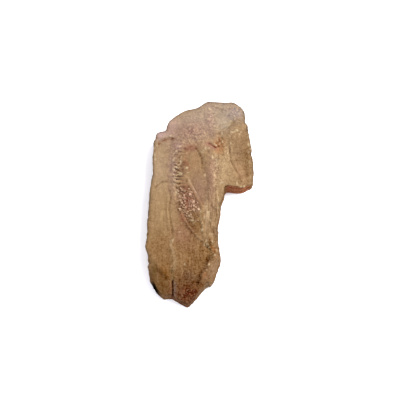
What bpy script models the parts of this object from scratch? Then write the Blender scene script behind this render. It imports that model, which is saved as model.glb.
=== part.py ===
"""A fossil ammonite in a broken slab of rock, lying on the slab's flat underside.

The slab is long and narrow, with a block standing out on one side and a notch below it. A ribbed shell,
squeezed into a leaning oval, sits in a pocket in the slab's top. The lower end of the shell is hollow,
and a crust of small calcite crystals lines that hollow.

X runs across the slab, Y along it and Z up. The lists below are in millimetres, and the origin is under
the middle of the slab, on the surface that it lies on.
"""

import math
import random

import bmesh
import bpy
import numpy as np
from mathutils import Matrix, Vector
from mathutils.bvhtree import BVHTree
from mathutils.geometry import delaunay_2d_cdt

MM = 0.001  # Blender works in metres

# ---------------------------------------------------------------- the slab
# The widest outline of the slab seen from above, clockwise from the left end of the cap. It is 79 mm wide
# and 150 mm long.
OUTLINE = [
    (4.5, 74.5), (7.5, 75), (14.5, 74.5), (20, 74), (23, 74.5), (26.5, 73.5), (29.5, 71.5), (32, 69),
    (33, 65.5), (33.5, 60.5), (35.5, 58), (35.5, 54.5), (36.5, 51.5), (38, 43.5), (38.5, 40),
    (38, 37.5), (39, 34), (39.5, 30.5), (39.5, 26), (39.5, 20), (39, 14.5), (35.5, 12), (31, 10),
    (25.5, 10), (19.5, 10), (17.5, 3.5), (15.5, -3), (14.5, -10.5), (12.5, -19), (13, -22.5),
    (13.5, -31.5), (14.5, -36), (15, -44), (13.5, -47.5), (12.5, -51), (10.5, -56), (8, -60), (6, -60),
    (1.5, -64.5), (-1.5, -68), (-6, -73), (-9, -75), (-14.5, -72.5), (-17.5, -70.5), (-21, -68.5),
    (-25.5, -69), (-28, -68), (-32, -64.5), (-33.5, -62), (-34.5, -59.5), (-36, -56.5), (-37, -50),
    (-37.5, -47), (-37, -44), (-38, -41.5), (-37.5, -39), (-39.5, -32.5), (-38.5, -26.5), (-38, -20.5),
    (-38.5, -15.5), (-37.5, -11), (-37.5, -8), (-37, -0.5), (-36.5, 3), (-36.5, 8), (-35.5, 16),
    (-34.5, 20), (-34.5, 25), (-34.5, 32.5), (-34.5, 36.5), (-34, 42), (-33.5, 45.5), (-32.5, 47.5),
    (-32.5, 49.5), (-31, 52), (-26.5, 53), (-25, 54), (-24, 58), (-23, 60), (-21, 62), (-16, 65.5),
    (-10.5, 68.5), (-3.5, 70), (-1, 71),
]
OUTLINE_STEP = 3.4  # spacing of the points round the slab

# How thick the slab is at named places: (x, y, height of the top above the floor).
HEIGHTS = [
    (-29, 46, 20), (-7, 66, 21), (18, 71, 23), (36, 53, 21), (37, 16, 20), (18, 26, 22),
    (-5, 23, 22), (-31, 27, 20), (-38, -21, 18.5), (-22, -10, 20.5), (10, -11, 22),
    (-8, -35, 19.5), (-29, -40, 18.5), (-7, -55, 17.5), (11, -38, 18.5), (-10, -72, 14),
]
HEIGHT_REACH = 13  # how far each named height is felt
LEAST_WEIGHT = 1e-9  # given to every named height, however far off

# Broken faces that cut the top away: a point on the face, then how much it falls per millimetre towards
# +X and +Y.
BREAKS = [
    ((-8, -58, 15.5), (0.04, -0.52)),  # the toe
    ((-28, -52, 16.5), (-0.42, -0.42)),  # the lower left shoulder
    ((4, -48, 17.0), (0.52, -0.16)),  # the facet on the lower right
    ((30, 68, 22.5), (0.35, 0.30)),  # the far corner of the cap
    ((-25, 57, 20.5), (-0.30, 0.20)),  # the far left corner
]
BREAK_ROUNDING = 0.8

# Ledges: a path, how much lower the ground is on its right, how far it takes to drop, and how far from
# the path the ground has come back.
LEDGES = [
    ([(-34.7, 36.5), (-33, 41), (-30, 45.3), (-26.3, 47.2), (-22, 48), (-17.5, 46.8)], 1.0, 0.6, 10),
    ([(13, 48.5), (17.5, 51.5), (22, 55.5), (24.6, 58.7), (30.1, 60.7), (35.2, 62.3)], 0.8, 1.4, 18),
    ([(31.3, 16.4), (26, 24.5), (22.8, 30.7), (21.8, 38)], 1.1, 0.8, 9),
    ([(0, -60.3), (0.5, -54.5), (2, -49.5), (5.4, -43), (8.5, -36)], -1.0, 1.6, 6),
]  # the pink lobes' edge, the cap's edge, the pale wedge's edge and the lower right facet's rim
LEDGE_ENDS = 0.12  # share of a ledge over which it starts, and again over which it ends

# Ridges and, with a height below nought, grooves: a path, a width and a height.
RIDGES = [
    ([(-33.2, 8.9), (-30.2, 12.4), (-26.8, 13.9), (-23.3, 14.9)], 0.6, -0.6),  # the arc on the left
    ([(-23.8, 12.4), (-21.3, 2), (-22.2, -5.9), (-20.7, -16.7), (-19.1, -27)], 0.8, -1.0),  # a groove
    ([(-25.3, 11.9), (-22.7, 2), (-23.7, -5.9), (-22.1, -16.7), (-20.6, -26.5)], 1.0, 0.5),  # its ridge
    ([(-20, -27), (-19.5, -37), (-19, -41.5), (-19.5, -46), (-20, -52)], 1.6, 0.8),  # the ridge below it
    ([(-19.8, -55.5), (-19.4, -71.8)], 0.8, -1.6),  # the crack at the toe
    ([(30.3, 18.4), (26, 24.5), (22.8, 30.7), (21.8, 37), (21.5, 43)], 0.7, -0.8),  # across the block
    ([(5.5, 43), (9, 41.5), (12.5, 39.5)], 0.8, -1.0),  # the rusty crack
    ([(-1, -60.3), (-0.3, -54.5), (1.5, -49.5), (4.7, -43), (8, -36)], 1.6, -0.8),  # the dark step
    ([(8.5, 4), (9.4, -9.8), (9.3, -22.6), (10.8, -31.4)], 2.4, 0.6),  # the round ridge by the chamber
]
RIDGE_ENDS = 0.15

# Bumps and, with a height below nought, pits: centre, reach across and along, height.
BUMPS = [
    ((26, 47), (4.5, 4.5), 0.9),  # the boss on the block
    ((14.3, 43.5), (2.4, 4.6), -1.8),  # the rusty hole
    ((6.4, -31.8), (2.8, 2.8), -1.2),  # the pit under the chamber's tip
    ((-4.9, -41.1), (8.0, 12.0), -1.2),  # the scooped lower panel
    ((-29, 30), (3.5, 11.0), -0.7),  # the smooth left panel
    ((13, 59.2), (3.5, 6.0), -0.5),  # the pale panel in the cap
    ((26.6, 64.8), (3.5, 3.0), 0.6),  # the lump on the cap
]
EDGE_ROUNDING = 0.9  # how much the top falls just at its rim
EDGE_REACH = 1.6

# The side of the slab, broken along its beds, from its top rim down: the share of the height, how far
# the wall stands in from the outline, how much further in it stands where it faces -Y, and how far a
# bed may be broken back from there.
WALL = [
    (1.00, 0.35, 2.2, 0.0),
    (0.82, 0.1, 1.8, 0.4),
    (0.62, 0.2, 1.3, 0.6),
    (0.52, 0.0, 1.0, 0.0),
    (0.27, 0.1, 0.5, 0.6),
    (0.12, 0.2, 0.0, 0.3),
    (0.00, 1.0, -0.8, 0.0),
]
BED_LENGTH = 9  # a break along a bed runs about this far round the slab
TOP_STEP = 2.15  # spacing of the points on the slab's top
TOP_CLEAR = 1.3  # how far they stay from its edges
SHARP_DEGREES = 35  # edges bent further than this stay sharp
SAME_POINT = 1e-7  # points closer than this are one point

# ---------------------------------------------------------------- the shell
# Spokes of the shell, clockwise from the tip of its hollow end. Each runs from the edge of the almond in
# the middle to the edge of the shell.
SPOKES = [
    ((2.5, -3.5), (5.4, -32.8)), ((1.5, -1.5), (2.5, -30.4)), ((0, 0.5), (-2, -27)),
    ((-1.5, 3.5), (-6.4, -22.1)), ((-3, 6.5), (-11.1, -15.2)), ((-4.5, 9.5), (-15, -7.4)),
    ((-6, 12.7), (-18.3, 0)), ((-7.7, 16.5), (-20.8, 7.4)), ((-9.3, 20.5), (-22.1, 14.9)),
    ((-10, 24.5), (-22.5, 21.5)), ((-9.9, 28.7), (-22.2, 27.5)), ((-9, 33), (-21.2, 34)),
    ((-7.7, 36.3), (-19.3, 41)), ((-6.4, 38.5), (-16.3, 48.5)), ((-5.2, 39.7), (-11.5, 55.5)),
    ((-4.2, 40), (-5, 59.2)), ((-3.1, 39.6), (0.5, 56.7)), ((-1.9, 38.3), (4.7, 49.5)),
    ((-0.4, 36), (7.7, 41.5)), ((1.1, 32.8), (10, 33.8)), ((2.5, 28.3), (11.5, 26)),
    ((3.7, 22.5), (12.2, 18.5)), ((4.9, 16.3), (11.8, 11)), ((5.4, 8.5), (9.9, 3.3)),
    ((5.2, 4.7), (7.7, -3.7)), ((4.7, 1.7), (5.8, -9.8)), ((4.1, -0.6), (5.1, -17.2)),
    ((3.4, -2.3), (5.1, -25.5)),
]
SPINE = [(-1.5, 9.5), (-4, 33.5)]  # the almond's middle line, bottom and top
RIBS = 75  # round the whole shell, which puts them 2.8 mm apart
# How strong the ribs are round the shell, as (share of the way round, strength)
RIB_STRENGTH = [(0, 0), (0.19, 0), (0.24, 1), (0.39, 1), (0.44, 0.45), (0.78, 0.45), (0.85, 0), (1, 0)]
RIB_HEIGHT = 0.45
# The whorl's height over the rock, as (share of the way out along a spoke, height)
WHORL = [(0, -0.4), (0.12, 0.2), (0.35, 1.0), (0.65, 1.1), (0.85, 0.8), (0.95, 0.2), (1, -0.3)]
RIB_REACH = [(0, 0), (0.12, 0.2), (0.35, 0.9), (0.78, 1.3), (0.93, 0.7), (1, 0)]
# The almond's height over the rock, as (share of the way out from its spine, height). It is sunk between
# the whorls.
ALMOND = [(0, -0.1), (0.6, -0.3), (0.85, -0.7), (1, -0.4)]
WHORL_RINGS = [0, 0.12, 0.28, 0.45, 0.62, 0.78, 0.9, 1]
ALMOND_RINGS = [0.8, 0.5]
SHELL_EDGE_POINTS = 400  # the shell's edge is measured with this many

# The edge of the hollow at the shell's lower end, clockwise from the tip
HOLLOW = [
    (4.4, -31), (1, -28.8), (-2.8, -25.6), (-7, -20.6), (-11, -14.2), (-14.6, -7), (-17.6, 0),
    (-19, 6), (-16, 10.5), (-11.5, 12), (-7.5, 12), (-5, 9.5), (-3, 5.5), (-1, 1.5),
    (1.3, -3), (2.2, -9), (2.4, -14.8), (2.9, -20.6), (3.7, -26.5),
]
HOLLOW_FLOOR = [(-34, 0.8), (-20, 1.2), (-8, 1.5), (2, 1.4), (12, 0.8)]  # y, and the floor's depth there
HOLLOW_SLOPE = 2.0  # how far in from its edge the floor is level

BOWL_DEPTH = 8.5  # how deep the shell sits in the rock
BOWL_REACH = 11  # how far in from the shell's edge the bowl is level
BOWL_COLUMNS = 75
BOWL_RINGS = [0.93, 0.7, 0.35, 0]
BOWL_ALMOND_RING = 0.4
GAP = 0.35  # between pieces that touch

# ---------------------------------------------------------------- the crystals
# The edge of the crust, clockwise from its lower end
CRUST = [
    (-3, -18), (-8, -15), (-12, -9.5), (-15, -3.5), (-17, 2.5), (-17, 7.5), (-12.5, 10.5), (-8, 10.5),
    (-5.3, 7), (-3, 2.5), (-0.8, -2.5), (0.5, -8), (0.2, -14),
]
CRUST_POINTS = 36  # round its edge
CRUST_STEP = 2.4  # spacing of the points of its underside
CRUST_CLEAR = 1.0
CRUST_THICKNESS = 0.5
FEELERS = 8
FEELER_REACH = 1.0  # how far round each point of the crust the floor under it is felt for
FEEL_FROM = 100  # a height above everything
CRYSTALS = 60
CRYSTAL_TRIES = 4000  # random places looked at to find room for them
CRYSTAL_SPACING = 1.9
CRYSTAL_CLEAR = 0.2  # from a crystal's foot to the edge of the crust
CRYSTAL_RADIUS = (0.65, 0.95)
CRYSTAL_HEIGHT = (0.6, 1.3)
CRYSTAL_LEAN = 0.3  # how far its tip may stand to one side
CRYSTAL_SIDES = 4

SEED = 7


# ---------------------------------------------------------------- curves and distances
def smooth_loop(points, closed=True, steps=12):
    """A smooth curve through points, with so many steps to each of them."""
    points = np.asarray(points, float)
    count = len(points)
    stretches = count if closed else count - 1
    share = np.linspace(0, 1, steps, endpoint=False)[:, None]
    out = []
    for i in range(stretches):
        if closed:
            a, b, c, d = (points[(i + k) % count] for k in (-1, 0, 1, 2))
        else:
            a, b, c, d = (points[min(max(i + k, 0), count - 1)] for k in (-1, 0, 1, 2))
        out.append(
            0.5 * (2 * b + (c - a) * share + (2 * a - 5 * b + 4 * c - d) * share**2
                   + (3 * b - a - 3 * c + d) * share**3)
        )
    if not closed:
        out.append(points[-1:])
    return np.concatenate(out)


def around(loop, count, *others):
    """So many points evenly spaced round a closed loop, and the matching points of other loops."""
    again = np.concatenate([loop, loop[:1]])
    run = np.concatenate([[0], np.cumsum(np.hypot(*np.diff(again, axis=0).T))])
    at = np.linspace(0, run[-1], count, endpoint=False)
    found = []
    for curve in (loop, *others):
        again = np.concatenate([curve, curve[:1]])
        found.append(np.stack([np.interp(at, run, again[:, k]) for k in (0, 1)], axis=1))
    return found if others else found[0]


def outward(loop):
    """The direction out of a clockwise loop at each of its points."""
    ahead = np.roll(loop, -1, axis=0) - np.roll(loop, 1, axis=0)
    ahead /= np.hypot(*ahead.T)[:, None]
    return np.stack([-ahead[:, 1], ahead[:, 0]], axis=1)


def follow(xy, path):
    """For each point: its distance to a path, +1 or -1 for left or right of it, and how far along it is."""
    path = np.asarray(path, float)
    runs = np.diff(path, axis=0)
    lengths = np.hypot(*runs.T)
    done = np.concatenate([[0], np.cumsum(lengths)])
    nearest = np.full(len(xy), np.inf)
    side = np.ones(len(xy))
    part = np.zeros(len(xy))
    for start, run, length, before in zip(path, runs, lengths, done):
        away = xy - start
        share = np.clip(away @ run / length**2, 0, 1)
        distance = np.hypot(*(away - share[:, None] * run).T)
        closer = distance < nearest
        nearest[closer] = distance[closer]
        side[closer] = np.sign(run[0] * away[closer, 1] - run[1] * away[closer, 0])
        part[closer] = (before + share[closer] * length) / done[-1]
    return nearest, side, part


def inside(xy, loop):
    """Which points lie inside a closed loop."""
    found = np.zeros(len(xy), bool)
    for (x0, y0), (x1, y1) in zip(loop, np.roll(loop, -1, axis=0)):
        crosses = (y0 > xy[:, 1]) != (y1 > xy[:, 1])
        if crosses.any():
            meets = x0 + (xy[crosses, 1] - y0) * (x1 - x0) / (y1 - y0)
            found[crosses] ^= xy[crosses, 0] < meets
    return found


def depth_inside(xy, loop):
    """How far inside a closed loop each point lies, below nought outside it."""
    distance = follow(xy, np.concatenate([loop, loop[:1]]))[0]
    return np.where(inside(xy, loop), distance, -distance)


def eased(value):
    """From nought to one with a soft start and end."""
    value = np.clip(value, 0, 1)
    return value * value * (3 - 2 * value)


def through(value, knots):
    """A smooth curve through (position, height) knots, read at value."""
    at, height = np.asarray(knots, float).T
    slope = np.gradient(height, at)
    i = np.clip(np.searchsorted(at, value, side="right") - 1, 0, len(at) - 2)
    span = at[i + 1] - at[i]
    t = np.clip((value - at[i]) / span, 0, 1)
    return (
        (2 * t**3 - 3 * t**2 + 1) * height[i] + (t**3 - 2 * t**2 + t) * span * slope[i]
        + (3 * t**2 - 2 * t**3) * height[i + 1] + (t**3 - t**2) * span * slope[i + 1]
    )


# ---------------------------------------------------------------- the height of the rock
SLAB_LOOP = smooth_loop(OUTLINE)


def rock_height(xy):
    """The height of the slab's top, without the pocket."""
    named = np.array(HEIGHTS, float)
    away = xy[:, None, :] - named[None, :, :2]
    weight = np.exp(-(away**2).sum(-1) / (2 * HEIGHT_REACH**2)) + LEAST_WEIGHT
    height = (weight * named[:, 2]).sum(1) / weight.sum(1)
    for (x, y, z), (fall_x, fall_y) in BREAKS:
        face = z - fall_x * (xy[:, 0] - x) - fall_y * (xy[:, 1] - y)
        both = np.maximum(BREAK_ROUNDING - np.abs(height - face), 0) / BREAK_ROUNDING
        height = np.minimum(height, face) - both**2 * BREAK_ROUNDING / 4
    for path, drop, width, reach in LEDGES:
        distance, side, part = follow(xy, smooth_loop(path, closed=False))
        ends = eased(part / LEDGE_ENDS) * eased((1 - part) / LEDGE_ENDS)
        level = eased(0.5 - side * distance / (2 * width))
        height = height - drop * level * ends * np.exp(-(distance / reach) ** 2)
    for path, width, rise in RIDGES:
        distance, _, part = follow(xy, smooth_loop(path, closed=False))
        ends = eased(part / RIDGE_ENDS) * eased((1 - part) / RIDGE_ENDS)
        height = height + rise * ends * np.exp(-(distance / width) ** 2)
    for centre, reach, rise in BUMPS:
        away = (xy - centre) / reach
        height = height + rise * np.exp(-(away**2).sum(1))
    rim = np.maximum(depth_inside(xy, SLAB_LOOP), 0)
    return height - EDGE_ROUNDING * np.exp(-rim / EDGE_REACH)


# ---------------------------------------------------------------- the height of the shell
def spoke_ends(count):
    """The inner and outer ends of so many spokes, evenly spaced round the shell's edge."""
    inner = smooth_loop([a for a, _ in SPOKES])
    outer = smooth_loop([b for _, b in SPOKES])
    outer, inner = around(outer, count, inner)
    return inner, outer


def spine_ends(inner):
    """The point of the almond's middle line that each inner end looks to."""
    low, high = np.asarray(SPINE, float)
    run = high - low
    share = np.clip((inner - low) @ run / (run @ run), 0, 1)[:, None]
    return low + share * run


HOLLOW_LOOP = smooth_loop(HOLLOW, steps=6)
SHELL_LOOP = spoke_ends(SHELL_EDGE_POINTS)[1]


def shell_height(xy, turn, out, almond):
    """The height of the shell's top. turn is the share of the way round, and out the share of the way
    out along the spoke, or, where almond is True, from the spine to the almond's edge."""
    if almond:
        relief = through(out, ALMOND)
    else:
        strength = np.interp(turn, *np.transpose(RIB_STRENGTH)) * through(out, RIB_REACH)
        ribs = RIB_HEIGHT * strength * np.cos(2 * np.pi * RIBS * turn)
        relief = through(out, WHORL) + ribs
    deep = depth_inside(xy, HOLLOW_LOOP)
    open_part = eased(deep / HOLLOW_SLOPE)
    return rock_height(xy) + relief * (1 - open_part) - through(xy[:, 1], HOLLOW_FLOOR) * open_part


def bowl_depth(xy):
    """How far the shell's underside lies below the top of the rock."""
    near = 1 - np.clip(depth_inside(xy, SHELL_LOOP), 0, BOWL_REACH) / BOWL_REACH
    return BOWL_DEPTH * np.sqrt(1 - near**4)


# ---------------------------------------------------------------- mesh building
class Shape:
    """Points and faces gathered for one solid."""

    def __init__(self):
        self.points = []
        self.faces = []

    def add(self, xy, z):
        """Adds points and returns their numbers."""
        first = len(self.points)
        self.points.extend((x, y, h) for (x, y), h in zip(xy, np.broadcast_to(z, len(xy))))
        return list(range(first, len(self.points)))

    def band(self, ring, other):
        """Joins two closed rings of points, which may hold different numbers of them."""
        i = j = 0
        while i < len(ring) or j < len(other):
            a, b = ring[i % len(ring)], other[j % len(other)]
            if j >= len(other) or (i + 1) * len(other) <= (j + 1) * len(ring):
                self.faces.append((a, ring[(i + 1) % len(ring)], b))
                i += 1
            else:
                self.faces.append((a, other[(j + 1) % len(other)], b))
                j += 1

    def fill(self, loops, inner_xy, inner_z):
        """Fills the area in the first loop of points and outside the rest, through some inner points."""
        numbers = [n for loop in loops for n in loop] + self.add(inner_xy, inner_z)
        edges = []
        first = 0
        for loop in loops:
            span = len(loop)
            edges += [(first + k, first + (k + 1) % span) for k in range(span)]
            first += span
        flat = np.array([self.points[n][:2] for n in numbers], float)
        cut = delaunay_2d_cdt([Vector(p) for p in flat], edges, [], 0, SAME_POINT)
        triangles = np.array([[cut[3][v][0] for v in face] for face in cut[2]])
        middle = flat[triangles].mean(axis=1)
        outlines = [np.array([self.points[n][:2] for n in loop]) for loop in loops]
        keep = inside(middle, outlines[0])
        for hole in outlines[1:]:
            keep &= ~inside(middle, hole)
        self.faces += [tuple(numbers[v] for v in face) for face in triangles[keep]]

    def solid(self, name, material):
        """Makes the object, with its faces turned outwards."""
        mesh = bpy.data.meshes.new(name)
        mesh.from_pydata([(x * MM, y * MM, z * MM) for x, y, z in self.points], [], self.faces)
        work = bmesh.new()
        work.from_mesh(mesh)
        bmesh.ops.recalc_face_normals(work, faces=work.faces)
        work.to_mesh(mesh)
        work.free()
        mesh.materials.append(material)
        mesh.shade_smooth()
        mesh.set_sharp_from_angle(angle=math.radians(SHARP_DEGREES))
        thing = bpy.data.objects.new(name, mesh)
        bpy.context.scene.collection.objects.link(thing)
        return thing


def hexagonal(loop, step, clear, holes=()):
    """Points in rows like a honeycomb, inside a loop and outside holes, clear of all their edges."""
    low, high = loop.min(axis=0), loop.max(axis=0)
    rows = np.arange(low[1], high[1], step * math.sqrt(3) / 2)
    points = np.array([
        (x + (step / 2 if k % 2 else 0), y)
        for k, y in enumerate(rows) for x in np.arange(low[0], high[0], step)
    ])
    keep = depth_inside(points, loop) > clear
    for hole in holes:
        keep &= depth_inside(points, hole) < -clear
    return points[keep]


def stone(name, colour, roughness):
    """A plain material for one piece."""
    material = bpy.data.materials.new(name)
    material.use_nodes = True
    shader = material.node_tree.nodes["Principled BSDF"]
    shader.inputs["Base Color"].default_value = (*colour, 1)
    shader.inputs["Roughness"].default_value = roughness
    shader.inputs["Metallic"].default_value = 0
    return material


# ---------------------------------------------------------------- the pieces
def broken_bed(count, breaks, chance):
    """How far back a bed is broken at so many points round the slab, 0 to 1."""
    knots = [chance.uniform(0, 1) for _ in range(breaks)]
    knots.append(knots[0])
    return np.interp(np.arange(count) / count, np.linspace(0, 1, breaks + 1), knots)


def build_matrix():
    """The slab: its top with the shell's pocket, its wall and its flat underside."""
    shape = Shape()
    chance = random.Random(SEED)
    length = np.hypot(*np.diff(SLAB_LOOP, axis=0).T).sum()
    edge = around(SLAB_LOOP, round(length / OUTLINE_STEP))
    out = outward(edge)
    facing = np.maximum(-out[:, 1], 0)
    rim_height = rock_height(edge - out * WALL[0][1])
    rings = []
    for share, inset, more, broken in WALL:
        back = broken * broken_bed(len(edge), round(length / BED_LENGTH), chance)
        xy = edge - out * (np.maximum(inset + more * facing, 0) + back)[:, None]
        rings.append(shape.add(xy, rim_height * share if share < 1 else rock_height(xy)))
    for upper, lower in zip(rings, rings[1:]):
        shape.band(upper, lower)
    shape.fill([rings[-1]], np.empty((0, 2)), 0)

    outer = spoke_ends(2 * RIBS)[1]
    outer = outer + outward(outer) * GAP
    mouth = shape.add(outer, rock_height(outer))
    rim = np.array([shape.points[n][:2] for n in rings[0]])
    top = hexagonal(rim, TOP_STEP, TOP_CLEAR, [outer])
    shape.fill([rings[0], mouth], top, rock_height(top))
    build_bowl(shape, mouth, GAP, GAP)
    return shape.solid("matrix", stone("iron_stained_rock", (0.42, 0.26, 0.15), 0.9))


def build_bowl(shape, rim, wider, lower):
    """The bowl under a rim of points: the shell's underside, or the wider and lower pocket for it."""
    inner, outer = spoke_ends(BOWL_COLUMNS)
    last = rim
    for out in BOWL_RINGS:
        xy = inner + (outer - inner) * out
        depth = rock_height(xy) - bowl_depth(xy) - lower
        ring = shape.add(xy + outward(outer) * wider * out, depth)
        shape.band(last, ring)
        last = ring
    spine = spine_ends(inner)
    xy = spine + (inner - spine) * BOWL_ALMOND_RING
    ring = shape.add(xy, rock_height(xy) - bowl_depth(xy) - lower)
    shape.band(last, ring)
    shape.fill([ring], np.empty((0, 2)), 0)


def build_ammonite():
    """The shell: ribbed whorl, almond and hollow above, and a smooth bowl below."""
    shape = Shape()
    inner, outer = spoke_ends(2 * RIBS)
    turn = np.arange(2 * RIBS) / (2 * RIBS)
    rings = []
    for out in reversed(WHORL_RINGS):
        xy = inner + (outer - inner) * out
        rings.append(shape.add(xy, shell_height(xy, turn, np.full(len(xy), float(out)), False)))
    spine = spine_ends(inner)
    for out in ALMOND_RINGS:
        xy = spine + (inner - spine) * out
        rings.append(shape.add(xy, shell_height(xy, turn, np.full(len(xy), float(out)), True)))
    for ring, other in zip(rings, rings[1:]):
        shape.band(ring, other)
    shape.fill([rings[-1]], np.empty((0, 2)), 0)
    build_bowl(shape, rings[0], 0, 0)
    return shape.solid("ammonite", stone("fossil_shell", (0.38, 0.22, 0.13), 0.85))


def floor_finder(piece):
    """A function that gives the highest place of a piece at or close round each point."""
    faces = [tuple(face.vertices) for face in piece.data.polygons]
    tree = BVHTree.FromPolygons([v.co / MM for v in piece.data.vertices], faces)
    feelers = [(0, 0)] + [
        (FEELER_REACH * math.cos(k * math.tau / FEELERS), FEELER_REACH * math.sin(k * math.tau / FEELERS))
        for k in range(FEELERS)
    ]

    def highest(xy):
        return np.array([
            max(tree.ray_cast(Vector((x + dx, y + dy, FEEL_FROM)), Vector((0, 0, -1)))[0].z
                for dx, dy in feelers)
            for x, y in xy
        ])

    return highest


def build_crystals(shell):
    """The crust: a thin sheet along the floor of the hollow, with pointed crystals standing on it."""
    shape = Shape()
    chance = random.Random(SEED)
    loop = around(smooth_loop(CRUST), CRUST_POINTS)
    floor = floor_finder(shell)
    under = shape.add(loop, floor(loop) + GAP)
    over = shape.add(loop, floor(loop) + GAP + CRUST_THICKNESS)
    shape.band(under, over)
    below = hexagonal(loop, CRUST_STEP, CRUST_CLEAR)
    shape.fill([under], below, floor(below) + GAP)

    low, high = loop.min(axis=0), loop.max(axis=0)
    centres = []
    for _ in range(CRYSTAL_TRIES):
        spot = np.array([[chance.uniform(low[0], high[0]), chance.uniform(low[1], high[1])]])
        clear = all(np.hypot(*(spot[0] - other)) > CRYSTAL_SPACING for other in centres)
        if clear and depth_inside(spot, loop)[0] > CRYSTAL_RADIUS[1] + CRYSTAL_CLEAR:
            centres.append(spot[0])
        if len(centres) == CRYSTALS:
            break
    foot_rings = []
    for centre in centres:
        radius = chance.uniform(*CRYSTAL_RADIUS)
        start = chance.uniform(0, math.tau)
        angle = start - np.arange(CRYSTAL_SIDES) * math.tau / CRYSTAL_SIDES
        foot = centre + radius * np.stack([np.cos(angle), np.sin(angle)], axis=1)
        foot_rings.append(shape.add(foot, floor(foot) + GAP + CRUST_THICKNESS))
        lean = [chance.uniform(-CRYSTAL_LEAN, CRYSTAL_LEAN) for _ in range(2)]
        tip = np.array([centre + lean])
        rise = chance.uniform(*CRYSTAL_HEIGHT)
        top = shape.add(tip, floor(tip) + GAP + CRUST_THICKNESS + rise)[0]
        ring = foot_rings[-1]
        shape.faces += [(ring[k], ring[(k + 1) % CRYSTAL_SIDES], top) for k in range(CRYSTAL_SIDES)]
    shape.fill([over, *foot_rings], np.empty((0, 2)), 0)
    return shape.solid("calcite_crystals", stone("calcite", (0.72, 0.56, 0.42), 0.35))


def main():
    for thing in list(bpy.data.objects):
        bpy.data.objects.remove(thing)
    shell = build_ammonite()
    pieces = [build_matrix(), shell, build_crystals(shell)]
    corners = np.array([v.co for v in pieces[0].data.vertices])
    middle = (corners.min(axis=0) + corners.max(axis=0)) / 2
    middle[2] = corners[:, 2].min()
    for piece in pieces:
        piece.data.transform(Matrix.Translation(-Vector(middle)))


main()
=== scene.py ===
# %% [markdown]
# # An ammonite in its slab of rock
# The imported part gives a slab, a shell and a crust of crystals as plain faceted solids. This lesson
# makes the real surface of each one over them. That could be sculpted by hand. Here almost everything
# is a height field instead: numpy works out a height for every point of a fine mesh from a few named
# places, paths and patches, so each size can be read and changed.

# %% Load the fixed frame
import itertools
import math
import random

import bmesh
import bpy
import numpy as np
from mathutils import Matrix, Vector, noise
from mathutils.geometry import delaunay_2d_cdt
from mathutils.kdtree import KDTree


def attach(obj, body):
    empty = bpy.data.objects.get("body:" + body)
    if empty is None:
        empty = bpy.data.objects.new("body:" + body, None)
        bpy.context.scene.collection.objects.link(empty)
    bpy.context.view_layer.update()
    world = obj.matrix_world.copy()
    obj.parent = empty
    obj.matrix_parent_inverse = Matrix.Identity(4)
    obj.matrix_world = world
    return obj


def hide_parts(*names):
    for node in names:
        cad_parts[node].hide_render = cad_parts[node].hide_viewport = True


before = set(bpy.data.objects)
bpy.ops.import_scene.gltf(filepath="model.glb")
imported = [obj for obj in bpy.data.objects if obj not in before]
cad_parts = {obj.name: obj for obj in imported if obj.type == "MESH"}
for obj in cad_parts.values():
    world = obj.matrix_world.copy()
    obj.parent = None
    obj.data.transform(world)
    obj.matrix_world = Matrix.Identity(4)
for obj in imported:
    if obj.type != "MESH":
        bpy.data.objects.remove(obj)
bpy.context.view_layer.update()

MM = 0.001  # Blender works in metres, and the lists below are in millimetres
SEED = 11

# %% [markdown]
# ## Curves and distances
# A broken stone has no straight lines, but it has edges: its outline, ledges, cracks and ridges. Each is
# a few points with a smooth curve through them. The distance from a point to such a curve then says
# how much of the ledge or crack is felt there. For a closed outline, a k-d tree finds the nearest point
# quickly. For an open path, each straight run is tried in turn, because that also tells on which side
# the point lies and how far along.


# %% Curves
def smooth_curve(points, closed=True, steps=12):
    """A smooth curve through points, with so many steps from each to the next."""
    points = np.asarray(points, float)
    if closed:
        a, b, c, d = (np.roll(points, -k, axis=0)[:, None] for k in (-1, 0, 1, 2))
    else:
        longer = np.concatenate([points[:1], points, points[-1:]])
        a, b, c, d = (longer[k : k + len(points) - 1, None] for k in range(4))
    share = np.linspace(0, 1, steps, endpoint=False)[:, None]
    curve = 0.5 * (
        2 * b + (c - a) * share + (2 * a - 5 * b + 4 * c - d) * share**2
        + (3 * b - a - 3 * c + d) * share**3
    )
    curve = curve.reshape(-1, 2)
    return curve if closed else np.concatenate([curve, points[-1:]])


def around(loop, count, *others):
    """So many points evenly spaced round a closed loop, and the matching points of other loops."""
    again = np.concatenate([loop, loop[:1]])
    run = np.concatenate([[0], np.cumsum(np.hypot(*np.diff(again, axis=0).T))])
    at = np.linspace(0, run[-1], count, endpoint=False)
    found = []
    for curve in (loop, *others):
        again = np.concatenate([curve, curve[:1]])
        found.append(np.stack([np.interp(at, run, again[:, k]) for k in (0, 1)], axis=1))
    return found if others else found[0]


def outward(loop, span=5):
    """The direction out of a clockwise loop at each of its points, evened out over a few of them."""
    ahead = np.roll(loop, -span, axis=0) - np.roll(loop, span, axis=0)
    ahead /= np.hypot(*ahead.T)[:, None]
    return np.stack([-ahead[:, 1], ahead[:, 0]], axis=1)


# %% Distances
def inside(xy, loop):
    """Which points lie inside a closed loop."""
    found = np.zeros(len(xy), bool)
    for (x0, y0), (x1, y1) in zip(loop, np.roll(loop, -1, axis=0)):
        crosses = (y0 > xy[:, 1]) != (y1 > xy[:, 1])
        if crosses.any():
            meets = x0 + (xy[crosses, 1] - y0) * (x1 - x0) / (y1 - y0)
            found[crosses] ^= xy[crosses, 0] < meets
    return found


def depth_inside(xy, loop):
    """How far inside a closed loop each point lies, below nought outside it."""
    tree = KDTree(len(loop))
    for i, (x, y) in enumerate(loop):
        tree.insert((x, y, 0), i)
    tree.balance()
    distance = np.array([tree.find((x, y, 0))[2] for x, y in xy])
    return np.where(inside(xy, loop), distance, -distance)


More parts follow.
